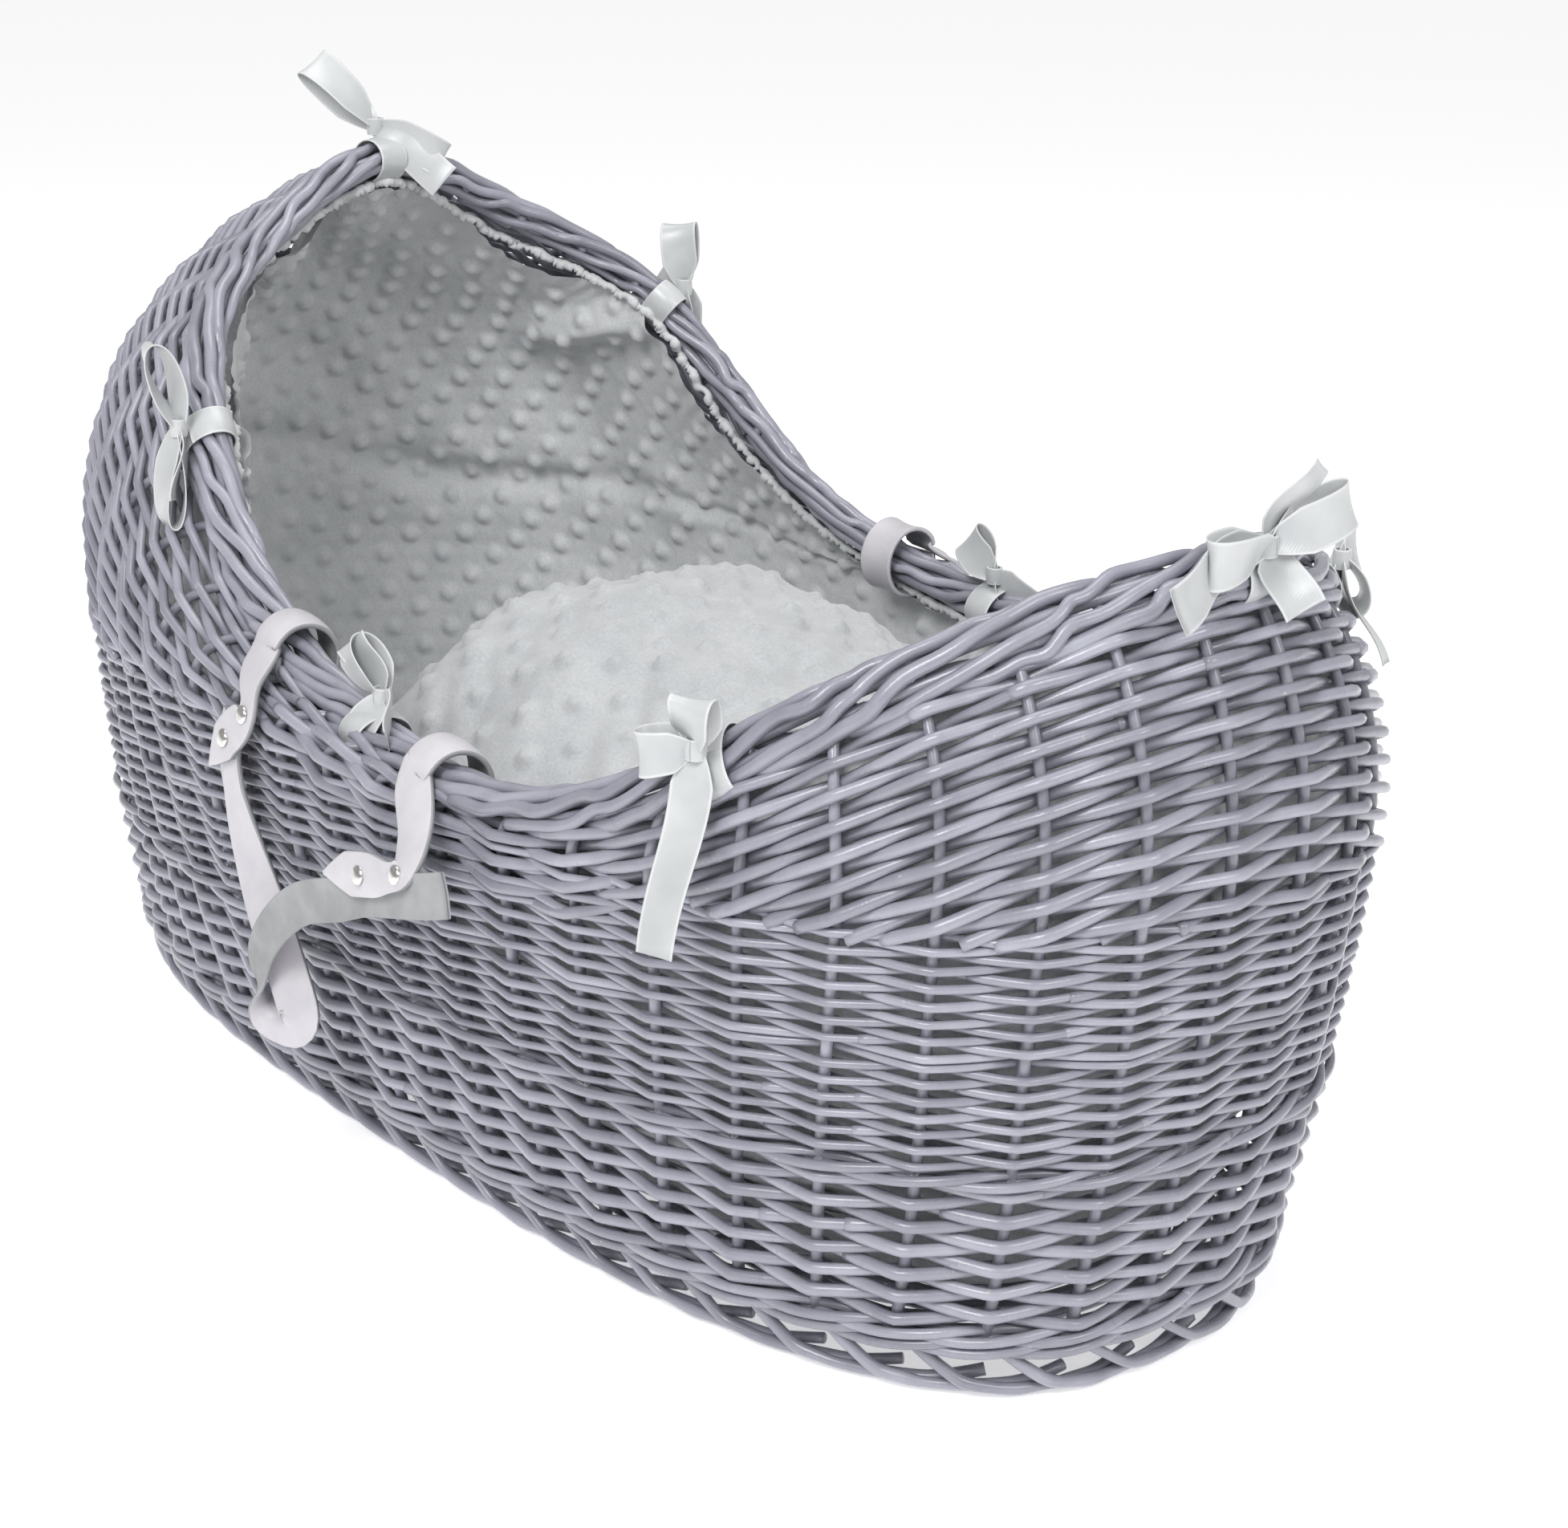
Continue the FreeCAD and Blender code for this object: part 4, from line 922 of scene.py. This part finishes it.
def ribbon_tail(knot, direction, across, length, droop):
    """Free end that droops away from the knot."""
    share = np.linspace(0, 1, 26)
    open_way = unit(np.cross(direction, across))
    points = (knot + direction * (length * share)[:, None] - UP * (droop * length * share ** 2)[:, None]
              + open_way * (0.07 * length * np.sin(share * 5.0))[:, None])
    widths = turned_about(across, open_way, share * TAIL_TWIST)
    return points, widths, narrowed(share * 5), RIBBON_THICKNESS


def bow(name, turn, loops, tails):
    """Bow tied round the rim: loops (way, length, opening) and tails (way, length, droop)."""
    centres, _, normals = border_frame(np.array([turn]))
    centre, normal = centres[0], normals[0]
    level = below_rim(np.array([turn]), BORDER_HEIGHT / 2)
    around = unit(on_grid(WALL, turn + 0.002, level)[0] - on_grid(WALL, turn - 0.002, level)[0])
    outward = unit(np.cross(around, UP))
    along = unit(np.cross(UP, outward))
    knot = centre + normal * (BORDER_HEIGHT / 2 + 3.5 * MM)

    def way(shares):
        direction = unit(along * shares[0] + UP * shares[1] + outward * shares[2])
        across = np.cross(direction, outward)
        if np.linalg.norm(across) < 0.25:
            across = np.cross(direction, along)
        return direction, unit(across)

    lines = [ribbon_loop(knot, *way(shares), length * MM, opening * MM) for shares, length, opening in loops]
    lines += [ribbon_tail(knot, *way(shares), length * MM, droop) for shares, length, droop in tails]
    across_rim = unit(np.cross(around, normal))
    angle = np.linspace(0, 2 * math.pi, 40)
    wrap = (centre + across_rim * ((BORDER_HEIGHT / 2 + 1.2 * MM) * np.sin(angle))[:, None]
            + normal * ((BORDER_THICKNESS / 2 + 2.5 * MM) * np.cos(angle))[:, None])
    lines.append((wrap, around, 0.016, RIBBON_THICKNESS))
    knot_ring = (knot + along * (4.5 * MM * np.sin(angle))[:, None]
                 + outward * (4.0 * MM * np.cos(angle))[:, None])
    lines.append((knot_ring, UP, 0.009, 0.0012))
    piece = strip(name + "_ribbon", lines, [SATIN])
    keep(piece, "basket", "satin_ribbon", name)


# Each bow's turn round the rim, loops and tails. A way is (along the rim, up, outward); lengths are in mm
BOWS = {
    "hood_top": (0.500, [((0.55, 0.8, 0.5), 50, 7), ((-0.6, -0.35, -0.5), 40, 6)],
                 [((-0.5, -0.5, -0.7), 46, 0.1)]),
    "hood_near": (0.6290, [((-0.1, 1.0, 0.25), 46, 7), ((0.1, -1.0, 0.15), 48, 7)],
                  [((0.25, -1.0, 0.1), 34, 0.1)]),
    "hood_far": (0.3940, [((0.1, 1.0, 0.1), 38, 6), ((0.1, -1.0, 0.1), 31, 6)],
                 [((0.5, 0.5, 0.2), 22, 0.2)]),
    "side_near": (0.7517, [((-0.8, 0.8, 0.1), 31, 7), ((0.15, -1.0, 0.5), 28, 7)],
                  [((0.9, -0.35, 0.35), 33, 0.1), ((-0.7, 1.0, 0.1), 33, 0.1)]),
    "side_far": (0.2406, [((0.6, 0.5, 0.1), 29, 7), ((0.2, -1.0, 0.5), 28, 7)],
                 [((-0.8, -0.5, 0.4), 34, 0.2)]),
    "foot_near": (0.8791, [((-0.9, -0.1, 0.2), 24, 6), ((0.0, 1.0, 0.1), 23, 5)],
                  [((0.0, -1.0, 0.46), 72, 0.22)]),
    "foot_far": (0.0799, [((0.9, 0.1, 0.2), 24, 6), ((0.2, -1.0, 0.4), 24, 6)],
                 [((-0.3, -1.0, 0.42), 48, 0.1)]),
    "foot_end": (0.0069, [((-0.9, 0.05, 0.1), 43, 7), ((0.9, 0.35, 0.2), 46, 8)],
                 [((0.45, 0.95, 0.2), 43, 0.1), ((0.35, -0.9, 0.45), 29, 0.1),
                  ((-1.0, -0.05, 0.1), 76, 0.1)]),
}
for place_name, (bow_turn, bow_loops, bow_tails) in BOWS.items():
    bow("ribbon_bow_" + place_name, bow_turn, bow_loops, bow_tails)


# -------- handles
STRAP_WIDTH = 0.021
STRAP_THICKNESS = 0.0024
HANDLES = {"near": -1, "far": 1}  # the way along y that each handle faces
LOOP_SHARES = {"near": (0.2940, 0.2125), "far": (0.2780, 0.1965)}
JOINTS = {joint["name"]: joint for joint in frame["record"]["behaviour"]["joints"]}

# Places are (along the basket, outward, up) in mm, from the middle of the rear or the front loop
REAR_TAB = [(12, 30, -4), (20, 38.5, -17), (5, 42.5, -34), (-10, 44.5, -54)]
FRONT_TAB = [(22, 29, -8), (28, 40, -24), (-4, 43.5, -38), (-38, 45, -52)]
REAR_RIVETS = [(20, 40, -17), (5, 44, -34)]
FRONT_RIVETS = [(26, 41.5, -25), (-4, 45, -38)]
REAR_BAND = [(4, 37.5, -24), (0, 39.5, -46), (6, 38.5, -74), (22, 36.5, -105), (46, 35, -138),
             (60, 36, -156), (52, 40, -165), (37, 44, -154), (40, 45, -132), (57, 44, -108), (86, 42.5, -83)]
FRONT_BAND = [(-6, 39.5, -49), (22, 38, -37), (44, 35, -28), (54, 30, -24)]


def smooth_path(knots, count):
    """Open smooth curve through points (Catmull-Rom), evenly spaced."""
    padded = np.concatenate([[2 * knots[0] - knots[1]], knots, [2 * knots[-1] - knots[-2]]])
    pieces = []
    share = np.linspace(0, 1, 24, endpoint=False)[:, None]
    for here in range(1, len(padded) - 2):
        p0, p1, p2, p3 = padded[here - 1:here + 3]
        pieces.append(0.5 * (2 * p1 + (p2 - p0) * share + (2 * p0 - 5 * p1 + 4 * p2 - p3) * share ** 2
                             + (3 * p1 - p0 - 3 * p2 + p3) * share ** 3))
    pieces.append(padded[-2:-1])
    return by_share(np.concatenate(pieces), np.linspace(0, 1, count))


def handle_axes(side):
    """Middle of the rear loop, the handle's ways along, outward and up, and the loops' spacing."""
    sign = HANDLES[side]
    joint = JOINTS[side + "_handle_swing"]
    along = np.array(joint["axis"], float) * sign
    outward = unit(np.array([-along[1], along[0], 0.0])) * sign
    centres, _, _ = border_frame(np.array(LOOP_SHARES[side]) * sign % 1.0)
    span = np.linalg.norm(centres[1] - centres[0])
    return np.array(joint["pos_m"], float), np.stack([along, outward, UP]), span


def strap_tab(path, along, outward):
    """Loop round the rim that narrows to its neck, then lies flat and ends in a point."""
    place = np.linspace(0, 1, len(path))
    neck = 1 - 0.36 * hump(place, 0.726, 0.053)
    point = np.clip((1 - place) / 0.099, 0.06, 1) ** 0.8
    flat = hump(place, 1.0, 0.27)[:, None]
    ahead = unit(np.gradient(path, axis=0))
    across = along * (1 - flat) + unit(np.cross(outward, ahead)) * flat
    return path, across, STRAP_WIDTH * neck * point, STRAP_THICKNESS


def strap_band(path, outward):
    """Long strap that hangs from both tabs, turns over in its bend and leans on the way down."""
    ahead = unit(np.gradient(path, axis=0))
    flat_way = unit(np.cross(ahead, outward))
    place = np.linspace(0, 1, len(path))
    turned = math.pi * np.clip((place - 0.37) / 0.14, 0, 1)
    across = turned_about(flat_way, np.cross(ahead, flat_way), turned - np.sin(2 * turned) / 2)
    lean = -0.75 * np.clip(place / 0.16 - 0.6, 0, 1) * np.clip((0.52 - place) / 0.12, 0, 1)
    across = turned_about(across, np.cross(ahead, across), lean)
    return path, -across, STRAP_WIDTH, STRAP_THICKNESS


def handle(side):
    """Two tabs looped round the rim, the strap between them and four rivets."""
    rear, axes, span = handle_axes(side)
    along, outward, _ = axes

    def spots(from_rear, from_front):
        rear_places = np.reshape(from_rear, (-1, 3)) * MM
        front_places = np.reshape(from_front, (-1, 3)) * MM + [span, 0, 0]
        return rear + np.concatenate([rear_places, front_places]) @ axes

    angle = np.radians(np.linspace(-279, 75, 19))
    radii = 18.7 - 2.6 * np.linspace(1, 0, 19) ** 2
    loop = np.stack([np.zeros(19), radii * np.sin(angle), radii * np.cos(angle)], axis=1)
    rear_tab = spots(np.concatenate([loop, REAR_TAB]), [])
    front_tab = spots([], np.concatenate([loop, FRONT_TAB]))
    lines = [strap_tab(smooth_path(tab, 120), along, outward) for tab in (rear_tab, front_tab)]
    before_front = (span * 0.80 / MM, 40.5, -63)
    band = spots([*REAR_BAND, before_front], FRONT_BAND)
    lines.append(strap_band(smooth_path(band, 150), outward))
    piece = strip(side + "_handle_leather", lines, [LEATHER, SUEDE][::-HANDLES[side]])
    keep(piece, side + "_handle", "strap_leather", side + "_handle_strap")
    rivets(side, spots(REAR_RIVETS, FRONT_RIVETS), unit(outward + UP * 0.25))


RIVET_PROFILE = np.array([(4.6, -0.6), (4.7, 0.2), (4.2, 0.9), (3.2, 1.5), (1.8, 1.85), (0.5, 1.95)]) * MM
RIVET_SIDES = 24


def rivets(side, centres, way):
    """Domed heads, each of them facing the same way."""
    angle = np.arange(RIVET_SIDES) * 2 * math.pi / RIVET_SIDES
    circle = np.stack([np.cos(angle), np.sin(angle), np.ones(RIVET_SIDES)], axis=1)
    dome = np.concatenate([circle * [radius, radius, height] for radius, height in RIVET_PROFILE])
    turn = np.array(Vector(UP).rotation_difference(Vector(way)).to_matrix())
    heads = [dome @ turn.T + centre for centre in centres]
    starts = np.arange(len(heads))[:, None] * len(dome)
    ring = np.arange(RIVET_SIDES)
    walls = grid_faces(len(RIVET_PROFILE), RIVET_SIDES, True)[None] + starts[:, None]
    caps = np.concatenate([starts + len(dome) - RIVET_SIDES + ring, starts + ring[::-1]])
    faces = [walls.reshape(-1, 4), caps]
    piece = make_object(side + "_handle_rivet_heads", np.concatenate(heads), faces, NICKEL)
    keep(piece, side + "_handle", "rivet_metal", side + "_handle_rivets")


for handle_side in HANDLES:
    handle(handle_side)


# -------- floor, light and camera
FLOOR_HALF = 16.0
floor_points = FLOOR_HALF * np.array([[-1, -1, 0], [1, -1, 0], [1, 1, 0], [-1, 1, 0]])
floor = make_object("floor", floor_points, [np.array([[0, 1, 2, 3]])], pale_floor(), smooth=False)

world = bpy.data.worlds.new("studio")
bpy.context.scene.world = world
world.use_nodes = True
background = world.node_tree.nodes["Background"].inputs
background["Color"].default_value = (1.0, 1.0, 1.0, 1)
background["Strength"].default_value = 0.46


def softbox(name, place, target, size, power):
    light = bpy.data.lights.new(name, "AREA")
    light.shape = "RECTANGLE"
    light.size, light.size_y = size
    light.energy = power
    item = add_object(name, light)
    item.location = place
    item.rotation_euler = (Vector(target) - Vector(place)).to_track_quat("-Z", "Y").to_euler()


softbox("key", (0.9, -1.6, 1.9), (0, 0, 0.2), (0.9, 0.9), 34)
softbox("top", (-0.2, 0.2, 2.4), (0, 0, 0.2), (1.4, 0.9), 16)
softbox("front", (1.9, -0.1, 1.5), (-0.2, 0.05, 0.3), (0.7, 0.7), 13)

camera_data = bpy.data.cameras.new("camera")
camera_data.lens = 68.03
camera_data.sensor_width = 36.0
camera_data.clip_start = 0.05
camera = add_object("camera", camera_data)
eye = Vector((1.1722, -0.8871, 0.6887))
aim = Vector((0.09976, 0.0, 0.21005))
roll = math.radians(0.543)
back = (eye - aim).normalized()
right = Vector(UP).cross(back).normalized()
upward = back.cross(right)
tilted_right = right * math.cos(roll) + upward * math.sin(roll)
tilted_up = upward * math.cos(roll) - right * math.sin(roll)
turned = Matrix((tilted_right, tilted_up, back)).transposed().to_4x4()
camera.matrix_world = Matrix.Translation(eye) @ turned
bpy.context.scene.camera = camera

bpy.context.scene.view_settings.view_transform = "Standard"
